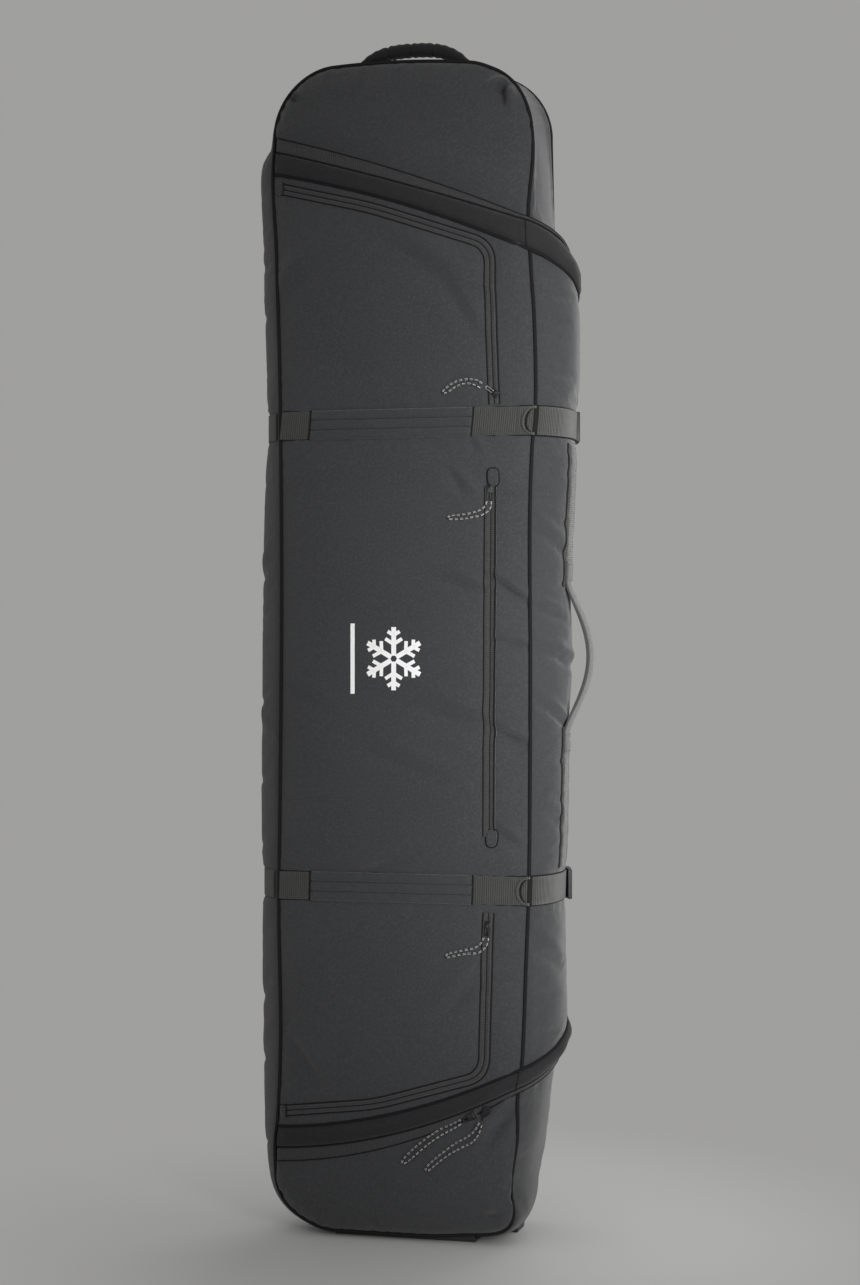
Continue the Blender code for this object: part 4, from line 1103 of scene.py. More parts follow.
def web_section(half, thickness):
    """(across, lift) points round a band of webbing."""
    profile = ((-1, 0.7), (-0.97, 1), (-0.5, 1), (0, 1.04), (0.5, 1), (0.97, 1), (1, 0.7))
    outer = [(across * half, thickness * lift) for across, lift in profile]
    return [(-half, 0.0)] + outer + [(half, 0.0)]


def band(name, rows, look):
    """A closed band through rows of points, each row once round its section."""
    return capped(grid_object(name, rows, [LOOKS[look]], wrap=True))


def joined(name, objects):
    """One object from several."""
    bm = bmesh.new()
    uv_layer = bm.loops.layers.uv.new("UVMap")
    looks = []
    for obj in objects:
        start = len(looks)
        looks += list(obj.data.materials)
        other = bmesh.new()
        other.from_mesh(obj.data)
        source = other.loops.layers.uv.get("UVMap")
        made = [bm.verts.new(v.co) for v in other.verts]
        other.verts.index_update()
        for face in other.faces:
            try:
                new = bm.faces.new([made[v.index] for v in face.verts])
            except ValueError:
                continue
            new.smooth = face.smooth
            new.material_index = start + face.material_index
            if source:
                for loop, old in zip(new.loops, face.loops):
                    loop[uv_layer].uv = old[source].uv
        other.free()
        bpy.data.objects.remove(obj)
    data = bpy.data.meshes.new(name)
    bm.to_mesh(data)
    bm.free()
    return add_object(name, data, looks)


def stitch_mesh(name, rows):
    """Thread along rows of points: short rounded bars, one stitch after another."""
    verts, faces = [], []
    for row in rows:
        points = [Vector(p) for p in row]
        carried = 0.0
        for a, b in zip(points, points[1:]):
            length = (b - a).length
            if length < 1e-7:
                continue
            direction = (b - a) / length
            side = direction.orthogonal().normalized()
            other = direction.cross(side)
            ring = [(side * c + other * s) * STITCH_RADIUS for c, s in ((1, 0), (0, 1), (-1, 0), (0, -1))]
            while carried < length:
                start = a + direction * carried
                first = len(verts)
                verts.append(start)
                for part in (0.2, 0.8):
                    middle = start + direction * (STITCH_LENGTH * part)
                    verts += [middle + reach for reach in ring]
                verts.append(start + direction * STITCH_LENGTH)
                for k in range(4):
                    n = (k + 1) % 4
                    faces.append((first, first + 1 + n, first + 1 + k))
                    faces.append((first + 1 + k, first + 1 + n, first + 5 + n, first + 5 + k))
                    faces.append((first + 5 + k, first + 5 + n, first + 9))
                carried += STITCH_PITCH
            carried -= length
    data = bpy.data.meshes.new(name)
    data.from_pydata(verts, [], faces)
    layer = data.uv_layers.new(name="UVMap")
    for loop in data.loops:
        x, _, z = data.vertices[loop.vertex_index].co
        layer.uv[loop.index].vector = (x, z)
    data.shade_smooth()
    return add_object(name, data, [LOOKS["stitch"]])


def rounded_box(name, low, high, rounding, origin, axes, look):
    """A box from low to high along its own axes. Its edges are rounded by a part of its least size, up to
    a limit: rounding is (part, limit)."""
    bm = bmesh.new()
    bmesh.ops.create_cube(bm, size=1.0)
    size = [h - l for l, h in zip(low, high)]
    for v in bm.verts:
        v.co = Vector([l + s * (c + 0.5) for l, s, c in zip(low, size, v.co)])
    radius = min(rounding[1], min(size) * rounding[0])
    bmesh.ops.bevel(bm, geom=bm.edges[:], offset=radius, segments=3, affect="EDGES", profile=0.5)
    for v in bm.verts:
        a, b, c = v.co
        v.co = origin + axes[0] * a + axes[1] * b + axes[2] * c
    bmesh.ops.recalc_face_normals(bm, faces=bm.faces)
    data = bpy.data.meshes.new(name)
    bm.to_mesh(data)
    bm.free()
    data.shade_smooth()
    return add_object(name, data, [LOOKS[look]])


STITCHES = {"door": [], "bag_body": []}  # rows of points, filled by the pieces and sewn at the end


def span(a, b, count):
    """Evenly spaced numbers from a to b, with both."""
    return [a + (b - a) * i / count for i in range(count + 1)]


# ---- Painted shade in the seams ------------------------------------------------------------------
def seam_shade_y(z, g):
    """y of the painted seam shade in the front seam (g = 0) or the back one (g = 1)."""
    inset = SEAM_DEPTH - 0.0022
    return front_y(z) + inset if g == 0 else back_y(z) - inset


def seam_path(side, low, high, g):
    """Points in the bottom of a seam, from one station level to another."""
    points = []
    for level in span(low, high, max(8, round(abs(high - low) * 90))):
        x, z, _, _ = station(side, level, g)
        points.append((x, seam_shade_y(z, g), z))
    return points


def end_path(top, g):
    """Points in the bottom of a seam round the top or the bottom end."""
    places = map(end_line(top, g), span(0.0, 1.0, 90))
    return [(x, seam_shade_y(z, g), z) for x, z in places]


def make_seams():
    """Painted shade: a black tube along the bottom of each seam's groove."""
    upper, lower = level_of(seam_height(upper_tape_top)), level_of(seam_height(lower_tape_foot))
    low, high = level_of(seam_height(lower_zip)), level_of(seam_height(upper_zip))
    paths = {
        "front_left_seam_shade": seam_path(-1, 0.0, 1.0, 0),
        "front_top_seam_shade": end_path(True, 0),
        "front_bottom_seam_shade": end_path(False, 0),
        "front_right_upper_seam_shade": seam_path(1, upper, 1.0, 0),
        "front_right_lower_seam_shade": seam_path(1, 0.0, lower, 0),
        "back_left_seam_shade": seam_path(-1, 0.0, 1.0, 1.0),
        "back_right_seam_shade": seam_path(1, 0.0, 1.0, 1.0),
        "back_top_seam_shade": end_path(True, 1.0),
    }
    for name, path in paths.items():
        dark_line(name, path, SEAM_SHADE_RADIUS, "bag_body")
    dark_line("door_right_seam_shade", seam_path(1, low, high, 0), SEAM_SHADE_RADIUS, "door")


# ---- Rolls and tapes along the big zip -----------------------------------------------------------
def on_fabric(z, s, lift):
    """A point round the right seam, on the smooth shape or on the fabric where that stands out of it."""
    point = wrapped(z, s, lift)
    trust = min(1.0, max(0.0, (abs(s) - TURN) / TURN))
    if s < 0:
        point.y += min(0.0, on_front(point.x, z, lift).y - point.y) * trust
    else:
        point.x += max(0.0, on_side(point.y, z, lift).x - point.x) * trust
    return point


def roll_point(lines, w, way, lift, slope):
    """A point of a welt between two front lines: way is 0 to 1 on the front and 1 to 2 down the side."""

    def mixed(x):
        return lines[0](x) * (1 - w) + lines[1](x) * w

    z_seam = seam_height(mixed)
    if way <= 1:
        left, right = seam_x(-1, seam_height(mixed, -1)) + 0.0045, seam_x(1, z_seam)
        x = left + (right - left) * way
        z = mixed(x)
        return on_fabric(z, x - seam_x(1, z), lift)
    s = (way - 1) * 0.90 * depth_at(z_seam)
    return on_fabric(z_seam + slope * s, s, lift)


def roll_arch(w):
    """The padded welt's height across it, 0 to 1; w is 0 at its zip and 1 at its foot."""
    return max(0.0, 1 - abs(2 * w - 1) ** 2.6) ** 0.55


def make_roll(name, lines, slope, node):
    """The padded welt that covers the big zip, over the front and round on to the side."""
    across = [-0.02, 0.02, 0.08, 0.17, 0.30, 0.42, 0.50, 0.58, 0.70, 0.83, 0.92, 0.98, 1.02]
    rows = []
    for way in span(0.0, 0.94, 80) + span(0.945, 1.07, 22) + span(1.09, 2.0, 40):
        lump = 1 + 0.05 * math.sin(9 * way) + 0.03 * math.sin(23 * way)
        ends = min(1.0, 0.55 + 12 * way) * math.sqrt(max(0.04, 1 - max(0.0, (way - 1.7) / 0.3) ** 2))
        high = ROLL_HEIGHT * lump * ends
        row = [roll_point(lines, w, way, high * roll_arch(w) - 0.0014, slope) for w in across]
        row += [roll_point(lines, w, way, -0.0032, slope) for w in (0.9, 0.1)]
        rows.append(row)
    dress(band(name, rows, "roll"), "door", [node])
    # Painted shade: black tubes in the gaps along the welt's zip edge and along its foot
    for edge, w, radius in (("zip", -0.035, 0.0015), ("foot", 1.05, 0.0022)):
        path = [roll_point(lines, w, way, 0.0009, slope) for way in span(0.0, 1.97, 150)]
        dark_line(f"{name}_{edge}_gap", path, radius, "door")
    # Painted shade: a thin black tube over the welt's join at the seam
    join = [roll_point(lines, w, 0.985, ROLL_HEIGHT * roll_arch(w) - 0.0010, slope) for w in across]
    dark_line(name + "_join", join, 0.0008, "door")


def tape_rows(lines, slope, lift):
    """Rows across a zip tape from its zip edge to its sewn edge, over the front and down the side."""
    edge_drop = 0.0006
    inner = [(w, lift) for w in (0.08, 0.3, 0.5, 0.7, 0.92)]
    section = [(0.0, lift - edge_drop)] + inner + [(1.0, lift - edge_drop)]
    ways = span(0.0, 1.0, 100) + span(1.03, 2.0, 40)
    return [[roll_point(lines, w, way, height, slope) for w, height in section] for way in ways]


def make_main_tapes():
    """The big zip's tapes: ribbed strips that show beside the rolls."""
    settings = (
        ("upper", (upper_zip, upper_tape_top), UPPER_FALL, True),
        ("lower", (lower_zip, lower_tape_foot), LOWER_RISE, False),
    )
    for end, lines, slope, flip in settings:
        strip = grid_object(end + "_tape", tape_rows(lines, slope, 0.0012), [LOOKS["tape"]], flip=flip)
        dress(thick(strip, 0.0012), "bag_body", [end + "_zip_tape"])
        # Painted shade: a black tube along the tape's sewn edge
        edge = [roll_point(lines, 1.03, way, 0.0012, slope) for way in span(0.0, 1.98, 150)]
        dark_line(end + "_tape_edge", edge, 0.0008, "bag_body")
        for w in (0.80, 0.28):
            row = [roll_point(lines, w, way, 0.0015, slope) for way in span(0.01, 1.95, 150)]
            STITCHES["bag_body"].append(row)


def make_side_tape():
    """The big zip's run up the right rear edge, as far as the upper cap."""
    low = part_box("side_zip_tape")[0].z
    cut = seam_height(upper_zip)
    high = cut + UPPER_FALL * 0.93 * depth_at(cut) - 0.004
    rows, teeth = [], []
    for z in span(low, high, 120):
        depth = depth_at(z)
        rows.append([wrapped(z, depth * g, 0.0004) for g in (0.90, 0.93, 0.955, 0.97, 0.985)])
        teeth.append(wrapped(z, depth * 0.945, 0.0012))
    strip = thick(grid_object("side_tape", rows, [LOOKS["tape"]]), 0.0012)
    dress(strip, "bag_body", ["side_zip_tape"])
    dark_line("side_coil", teeth, 0.0011, "bag_body")


# ---- Pocket zips ---------------------------------------------------------------------------------
def rounded_route(corners, radius, spacing):
    """(x, z) points evenly spaced on a polyline whose inner corners are arcs."""
    path = [Vector(corners[0])]
    for before, corner, after in zip(corners, corners[1:], corners[2:]):
        before, corner, after = Vector(before), Vector(corner), Vector(after)
        start = corner + (before - corner).normalized() * radius
        end = corner + (after - corner).normalized() * radius
        path += [start * (1 - t) ** 2 + corner * (2 * t * (1 - t)) + end * t * t for t in span(0.0, 1.0, 12)]
    path.append(Vector(corners[-1]))
    even = [path[0]]
    for a, b in zip(path, path[1:]):
        steps = max(1, round((b - a).length / spacing))
        even += [a + (b - a) * k / steps for k in range(1, steps + 1) if (b - a).length > 1e-6]
    return even


def beside(route, i, across):
    """The route's point i, moved sideways to the left of its direction."""
    ahead, behind = route[min(i + 1, len(route) - 1)], route[max(i - 1, 0)]
    direction = (ahead - behind).normalized()
    return route[i] + Vector((-direction.y, direction.x)) * across


def line_on_front(route, across, lift):
    """The route on the front's fabric, moved sideways and a lift out of it."""
    return [on_front(*beside(route, i, across), lift) for i in range(len(route))]


# a pocket zip's section, as (part of the half width, lift): two folded lips with the coil between them
ZIP_SECTION = ((-1.0, 0.0004), (-0.96, 0.0019), (-0.6, 0.0024), (-0.2, 0.0020), (-0.08, 0.0007),
               (0.08, 0.0007), (0.2, 0.0020), (0.6, 0.0024), (0.96, 0.0019), (1.0, 0.0004))


def make_pocket_zip(name, half, lines):
    """A pocket's zip; lines are the (place left of the run, radius) of its dark lines: painted shade at the
    lips' edges, and the black coil between the lips.
    """
    route = rounded_route(POCKET_ROUTES[name], POCKET_CORNER, 0.004)
    rows = []
    for i in range(len(route)):
        rows.append([on_front(*beside(route, i, part * half), lift) for part, lift in ZIP_SECTION])
    strip = thick(grid_object(name + "_pocket_tape", rows, [LOOKS["tape"]], flip=True), 0.0010)
    dress(strip, "door", [name + "_pocket_zip"])
    for k, (across, radius) in enumerate(lines):
        lift = 0.0007 if abs(across) > half or across == 0 else 0.0022
        path = line_on_front(route, across, lift)
        dark_line(f"{name}_pocket_gap_{k}", path, radius, "door")
    for part in (-0.62, 0.62):
        STITCHES["door"].append(line_on_front(route, part * half, 0.0027))


def outline(power, steps):
    """Points round a superellipse with half sizes of 1: an ellipse at a power of 2, squarer above it."""
    points = []
    for k in range(steps):
        turn = 2 * math.pi * k / steps
        c, s = math.cos(turn), math.sin(turn)
        reach = (abs(c) ** power + abs(s) ** power) ** (-1 / power)
        points.append((reach * c, reach * s))
    return points


def domed(name, centre, half_x, half_z, power, rise, look):
    """A low rounded patch on the front, with a superellipse outline."""
    rows = []
    for size, part in ((1.0, 0.0), (0.985, 0.55), (0.93, 0.85), (0.8, 1.0), (0.5, 1.0), (0.02, 1.0)):
        row = []
        for a, b in outline(power, 32):
            row.append(on_front(centre[0] + half_x * size * a, centre[1] + half_z * size * b, rise * part))
        rows.append(row)
    dress(capped(grid_object(name, rows, [LOOKS[look]], wrap=True)), "door")


def make_pocket_zips():
    make_pocket_zip("upper", 0.0065, ((0.0072, 0.0014), (-0.0072, 0.0010), (0.0, 0.0008)))
    make_pocket_zip("middle", 0.0078, ((0.0084, 0.0008), (0.0, 0.0006), (-0.0064, 0.0014)))
    make_pocket_zip("lower", 0.0065, ((0.0072, 0.0012), (-0.0072, 0.0013), (0.0, 0.0008)))
    foot, head = POCKET_ROUTES["middle"]
    for label, end, beyond in (("upper", head, 0.013), ("lower", foot, -0.002)):
        make_garage(f"middle_zip_{label}_garage", end[0] + 0.0035, end[1] + beyond)
    for name in ("upper", "lower"):
        x, z = POCKET_ROUTES[name][0]
        domed(name + "_zip_bartack", (x + 0.004, z - 0.001), 0.0050, 0.0085, 5.0, 0.0033, "tape")
        # Painted shade: a black tube along the bartack's right edge
        edge = [on_front(x + 0.0095, z + dz, 0.0028) for dz in span(-0.0085, 0.0075, 6)]
        dark_line(name + "_zip_bartack_gap", edge, 0.0008, "door")


def make_garage(name, x, z):
    """The sewn patch that covers an end of the middle zip."""
    domed(name, (x, z), 0.0074, 0.0115, 3.0, 0.0038, "side")
    # Painted shade: a black ring round the patch's edge
    ring = [(0.0080 * a, 0.0121 * b) for a, b in outline(3, 40)]
    ring.append(ring[0])
    gap = [on_front(x + a, z + b, 0.0008) for a, b in ring]
    dark_line(name + "_gap", gap, 0.0012, "door")
    STITCHES["door"].append([on_front(x + a * 0.74, z + b * 0.84, 0.0041) for a, b in ring])


# ---- Compression straps --------------------------------------------------------------------------
def strap_rows(z, ways, section):
    """Rows of a band on edge round the right side; ways are (distance from the front seam, lift) pairs."""
    return [[wrapped(z + across, s, lift + rise) for across, lift in section] for s, rise in ways]


def make_front_strap(level, z):
    """The door's half of a compression strap, from the left seam round to its buckle's clip."""
    full = seam_x(1, z) - seam_x(-1, z)
    depth = depth_at(z)
    ways = [(-full + 0.0015, -0.0030), (-full + 0.005, -0.0004)]
    ways += [(s, 0.0005) for s in span(-full + 0.010, -TURN, 70)]
    ways += [(s, 0.0005) for s in span(-TURN + 0.001, TURN, 14)]
    ways += [(s, 0.0006) for s in span(TURN + 0.002, 0.66 * depth, 36)]
    section = web_section(WEBBING / 2, STRAP_THICKNESS)
    strip = band(level + "_strap_web", strap_rows(z, ways, section), "webbing")
    dress(strip, "door", [level + "_front_strap"])
    for across in (-WEBBING / 2 + 0.003, WEBBING / 2 - 0.003):
        STITCHES["door"].append([wrapped(z + across, s, 0.0030) for s in span(-0.074, -0.020, 14)])
    for s in (-0.074, -0.062, -0.022, 0.030, 0.042):
        STITCHES["door"].append([wrapped(z + across, s, 0.0030) for across in span(-0.016, 0.016, 8)])
    for label, across in (("lower", -WEBBING / 2 - 0.0004), ("upper", WEBBING / 2 + 0.0004)):
        path = [wrapped(z + across, s, 0.0003) for s in span(-full + 0.004, 0.62 * depth, 90)]
        dark_line(f"{level}_strap_{label}_shade", path, 0.0014, "door")


def make_strap_pad(level, z):
    """The strap's padded wrap: three long channels between two rows of stitches."""
    low, high = (corner.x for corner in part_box(level + "_strap_pad"))
    half, channels = WEBBING / 2 + 0.0012, 3
    seam = seam_x(1, z)
    rows = []
    for u in span(0.0, 1.0, 84):
        x = low + (high - low) * u
        end = (1 - abs(2 * u - 1) ** 40) ** 0.5
        sag = 1 + 0.05 * math.sin(31 * u + z) + 0.04 * math.sin(74 * u)
        row = []
        for part in span(-1.0, 1.0, 36):
            t = (part + 1) / 2 * channels % 1.0
            rise = 0.0022 + 0.0036 * (1 - abs(2 * t - 1) ** 2.6) ** 0.6 * sag
            if abs(part) == 1:
                rise = 0.0010
            row.append(wrapped(z + half * part, x - seam, 0.0012 + rise * end))
        row += [wrapped(z + half * part, x - seam, 0.0002) for part in (0.9, -0.9)]
        rows.append(row)
    dress(band(level + "_pad", rows, "side"), "door", [level + "_strap_pad"])
    # Painted shade: black tubes in the two channels between the padding's rolls
    for label, part in (("lower", -1 / 3), ("upper", 1 / 3)):
        path = [wrapped(z + half * part, x - seam, 0.0036) for x in span(low + 0.002, high - 0.002, 80)]
        dark_line(f"{level}_pad_channel_{label}", path, 0.0006, "door")
        STITCHES["door"].append([point + Vector((0, -0.0006, 0)) for point in path])
    # Painted shade: black tubes across both ends of the pad
    for label, x in (("left", low), ("right", high)):
        path = [wrapped(z + across, x - seam, 0.0032) for across in span(-half, half, 12)]
        dark_line(f"{level}_pad_{label}_end", path, 0.0010, "door")


def make_keeper(level, z):
    """The bight of webbing at the right seam, with painted shade behind it: a black inner bight and a black
    sheet.
    """
    # the inner bight is painted shade: a black tube inside the webbing's bight
    bights = (("outer", 0.0140, 0.0018, "webbing"), ("inner", 0.0095, 0.0013, "gap"))
    for label, reach, radius, look in bights:
        path = []
        for turn in span(-math.pi / 2, math.pi / 2, 24):
            path.append(wrapped(z + 0.0180 * math.sin(turn), -reach * math.cos(turn) - 0.001, 0.0034))
        dress(tube(f"{level}_keeper_{label}", path, radius, look), "door")
    # Painted shade: a thin black sheet where the bight shades the seam
    rows = [[wrapped(z + a, s, 0.0034) for s in span(-0.0032, 0.0022, 4)] for a in span(-0.0195, 0.0195, 10)]
    dress(thick(grid_object(level + "_keeper_gap", rows, [LOOKS["gap"]]), 0.0008), "door")


def left_wrap(z, g, lift):
    """A point of the left side's smooth shape, a lift out of it."""
    x, y, _ = rim_point(-1, level_of(z), g, eased(LEFT_BULGE, z))
    return np.array([x - lift, y])


def make_rear_strap(level, z):
    """From the left seam round the back to the buckle's socket."""
    back = back_y(z) + 0.0006
    half = half_width(z)
    path = [left_wrap(z, g, 0.0009) for g in span(0.03, 0.95, 30)]
    path += [np.array([-half - 0.0012, back - 0.0022]), np.array([-half + 0.003, back])]
    path += [np.array([x, back]) for x in span(-half + 0.010, half - 0.010, 50)]
    path += [np.array([half - 0.003, back]), np.array([half + 0.0022, back - 0.0030])]
    socket = middle_of(level + "_buckle_socket")
    path.append(np.array([socket.x, socket.y + 0.010]))
    section = web_section(WEBBING / 2, STRAP_THICKNESS)
    rows = []
    for i, point in enumerate(path):
        out = normal_at(path, i)
        rows.append([(*(point + out * lift), z + across) for across, lift in section])
    dress(band(level + "_rear_web", rows, "webbing"), "bag_body", [level + "_rear_strap"])


def middle_of(node):
    """The middle of a CAD node's box."""
    low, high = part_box(node)
    return (low + high) / 2


# The buckle's halves as (low, high) corners of boxes, in (run towards the socket, out of the bag, up).
CLIP_BOXES = (
    ((-0.0160, -0.0030, -0.0205), (-0.0115, 0.0030, 0.0205)),
    ((-0.0070, -0.0026, -0.0195), (-0.0030, 0.0026, 0.0195)),
    ((-0.0005, -0.0030, -0.0205), (0.0028, 0.0030, 0.0205)),
    ((-0.0140, -0.0028, -0.0205), (0.0010, 0.0028, -0.0165)),
    ((-0.0140, -0.0028, 0.0165), (0.0010, 0.0028, 0.0205)),
    ((0.0020, -0.0015, -0.0140), (0.0145, 0.0015, -0.0090)),
    ((0.0020, -0.0015, -0.0025), (0.0130, 0.0015, 0.0025)),
    ((0.0020, -0.0015, 0.0090), (0.0145, 0.0015, 0.0140)),
)
SOCKET_BOXES = (
    ((0.0000, 0.0026, -0.0210), (0.0325, 0.0045, 0.0210)),
    ((0.0000, -0.0045, -0.0210), (0.0325, -0.0026, 0.0210)),
    ((0.0000, -0.0040, -0.0210), (0.0325, 0.0040, -0.0155)),
    ((0.0000, -0.0040, 0.0155), (0.0325, 0.0040, 0.0210)),
    ((0.0165, -0.0040, -0.0200), (0.0200, 0.0040, 0.0200)),
    ((0.0290, -0.0040, -0.0200), (0.0325, 0.0040, 0.0200)),
)


def make_buckle(level, z):
    """A side-release buckle: the door's half with its prongs, and the body's half with its windows."""
    hinge = Vector((-half_width(z), front_y(z), 0))
    clip_middle, socket_middle = (middle_of(f"{level}_buckle_{half}") for half in ("clip", "socket"))
    clip_middle.z = socket_middle.z = 0
    out = (clip_middle - hinge).normalized()
    home = Vector((-out.y, out.x, 0))
    axes = (home, out, Vector((0, 0, 1)))
    halves = (
        ("clip", CLIP_BOXES, clip_middle + home * 0.0005, "door"),
        ("socket", SOCKET_BOXES, socket_middle - home * 0.0162, "bag_body"),
    )
    for half, boxes, middle, body in halves:
        seat = middle + Vector((0, 0, z))
        made = []
        for k, (low, high) in enumerate(boxes):
            made.append(rounded_box(f"{half}_{k}", low, high, (0.4, 0.0012), seat, axes, "buckle"))
        dress(joined(f"{level}_{half}", made), body, [f"{level}_buckle_{half}"])


def make_straps():
    for level, z in STRAP_LEVELS.items():
        make_front_strap(level, z)
        make_strap_pad(level, z)
        make_keeper(level, z)
        make_rear_strap(level, z)
        make_buckle(level, z)


def make_tie_downs():
    """The webbing inside that holds the board."""
    for level in ("upper", "lower"):
        low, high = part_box(level + "_tie_down")
        y, z = (low.y + high.y) / 2, (low.z + high.z) / 2
        section = web_section((high.z - low.z) / 2, high.y - low.y - 0.0004)
        rows = []
        for x in span(low.x, high.x, 50):
            rows.append([(x, y + 0.0008 - lift, z + across) for across, lift in section])
        dress(band(level + "_tie_web", rows, "webbing"), "bag_body", [level + "_tie_down"])


# ---- Handles -------------------------------------------------------------------------------------
def make_side_strips():
    """The side handle's webbing, sewn down below and above its grip."""
    foot, head = GRIP_SPAN
    section = web_section(WEBBING / 2, 0.0020)
    strips = []
    tuck = 0.006  # how far a strip runs on under the grip's tab
    ends = (("lower", STRIP_SPAN[0], foot + tuck), ("upper", head - tuck, STRIP_SPAN[1]))
    for label, bottom, top in ends:
        heights = span(bottom, top, 60)
        rows = [[on_side(STRIP_Y - across, z, lift + 0.0004) for across, lift in section] for z in heights]
        strips.append(band(f"side_strip_{label}", rows, "webbing"))
        # Painted shade: a black tube along the strip's front edge
        edge = [on_side(STRIP_Y - WEBBING / 2 - 0.0006, z, 0.0004) for z in heights]
        dark_line(f"side_strip_{label}_gap", edge, 0.0015, "door")
        for offset in (-0.0155, 0.0155):
            row = [on_side(STRIP_Y + offset, z, 0.0026) for z in span(bottom + 0.004, top - 0.004, 60)]
            STITCHES["door"].append(row)
    dress(joined("side_strip_web", strips), "door", ["side_handle_strip"])


def make_side_handle():
    """The grip: webbing that bows out of the side between its two sewn tabs."""
    make_side_strips()
    foot, head = GRIP_SPAN
    tab, tab_lift = 0.030, 0.0034

    def smooth_x(z):
        return bare_wrap(z, STRIP_Y - front_y(z))[0]

    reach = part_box("side_handle")[1].x
    bow = reach - smooth_x((foot + head) / 2) - 0.0015 - tab_lift
    path = [(z, tab_lift) for z in span(foot - tab, foot, 6)[:-1]]
    for t in span(0.0, 1.0, 60):
        path.append((foot + (head - foot) * t, tab_lift + bow * math.sin(math.pi * t) ** 1.25))
    path += [(z, tab_lift) for z in span(head, head + tab, 6)[1:]]
    spots = [np.array([smooth_x(z) + lift, z]) for z, lift in path]
    rows = []
    for i, spot in enumerate(spots):
        out = -normal_at(spots, i)
        fold = math.exp(-((abs(i - len(spots) / 2) / (len(spots) * 0.30)) ** 6))
        row = []
        for across, lift in web_section(WEBBING / 2 * (1 - 0.12 * fold), 0.0022 + 0.0016 * fold):
            at = spot + out * (lift - 0.0011)
            row.append((at[0], STRIP_Y - across, at[1]))
        rows.append(row)
    dress(band("side_grip", rows, "tape"), "door", ["side_handle"])
    for low in (foot - tab + 0.003, head + 0.003):
        for z in (low, low + 0.022):
            STITCHES["door"].append([on_side(STRIP_Y + dy, z, 0.0052) for dy in span(-0.015, 0.015, 8)])
        for dy in (-0.015, 0.015):
            STITCHES["door"].append([on_side(STRIP_Y + dy, z, 0.0052) for z in span(low, low + 0.022, 6)])


def make_top_handle():
    """A padded arch with three rows across it, on a strip of webbing."""
    low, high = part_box("top_handle")
    y, reach = (low.y + high.y) / 2, (high.x - low.x) / 2
    crown, foot = high.z - 0.0090, low.z + 0.0020
    ways = span(-1.0, 1.0, 110)
    spots = [np.array([reach * t, foot + (crown - foot) * (1 - abs(t) ** 2.7)]) for t in ways]
    rows = []
    for i, (t, spot) in enumerate(zip(ways, spots)):
        out = normal_at(spots, i)
        body = max(0.0, 1 - abs(t) ** 5)
        pinch = sum(math.exp(-(((t - row) / 0.012) ** 2)) for row in (-0.42, -0.02, 0.38))
        tall = (0.0030 + 0.0064 * body + 0.0004 * math.sin(47 * t)) * (1 - 0.30 * pinch)
        deep = (0.0050 + 0.0078 * body) * (1 - 0.12 * pinch)
        row = []
        for k in range(20):
            a = 2 * math.pi * k / 20
            c, s = (math.copysign(abs(part) ** 0.85, part) for part in (math.cos(a), math.sin(a)))
            at = spot + out * (tall * s)
            row.append((at[0], y + deep * c, at[1]))
        rows.append(row)
    dress(band("top_grip", rows, "grip"), "top_handle", ["top_handle"])

    low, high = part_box("top_handle_base")
    section = web_section((high.y - low.y) / 2, 0.0018)
    g = (y - front_y(TOP)) / depth_at(TOP)
    rows = []
    for x in span(low.x, high.x, 40):
        base = top_point(x, g, eased(LEFT_BULGE, TOP))[2] - 0.0004
        rows.append([(x, y + across, base + lift) for across, lift in section])
    dress(band("top_strip_web", rows, "webbing"), "bag_body", ["top_handle_base"])


# ---- Sliders and cords ---------------------------------------------------------------------------
def cord_route(points):
    """Even points on a Catmull-Rom curve through (x, z, lift) points, laid on the front's fabric."""
    given = [Vector(p) for p in points]
    given = [given[0] * 2 - given[1]] + given + [given[-1] * 2 - given[-2]]
    fine = []
    for a, b, c, d in zip(given, given[1:], given[2:], given[3:]):
        for t in span(0.0, 1.0, 5)[:-1]:
            squared, cubed = 2 * a - 5 * b + 4 * c - d, 3 * b - a - 3 * c + d
            fine.append(0.5 * (2 * b + (c - a) * t + squared * t**2 + cubed * t**3))
    fine.append(given[-2])
    return [on_front(x, z, lift - CORD_LAID) for x, z, lift in fine]


def narrowed(route):
    """The cord's loop with its two strands brought together, away from the tab they are tied to."""
    drawn = []
    for i, (x, z, lift) in enumerate(route):
        other = route[len(route) - 1 - i]
        pull = LOOP_CLOSING * math.sin(math.pi * i / (len(route) - 1)) / 2
        drawn.append((x + (other[0] - x) * pull, z + (other[1] - z) * pull, lift))
    return drawn


def eased_path(points, rounds=3):
    """The path with its small steps in depth taken out; both ends stay."""
    points = [Vector(p) for p in points]
    for _ in range(rounds):
        depths = [p.y for p in points]
        for i in range(1, len(points) - 1):
            points[i].y = (depths[i - 1] + 2 * depths[i] + depths[i + 1]) / 4
    return points


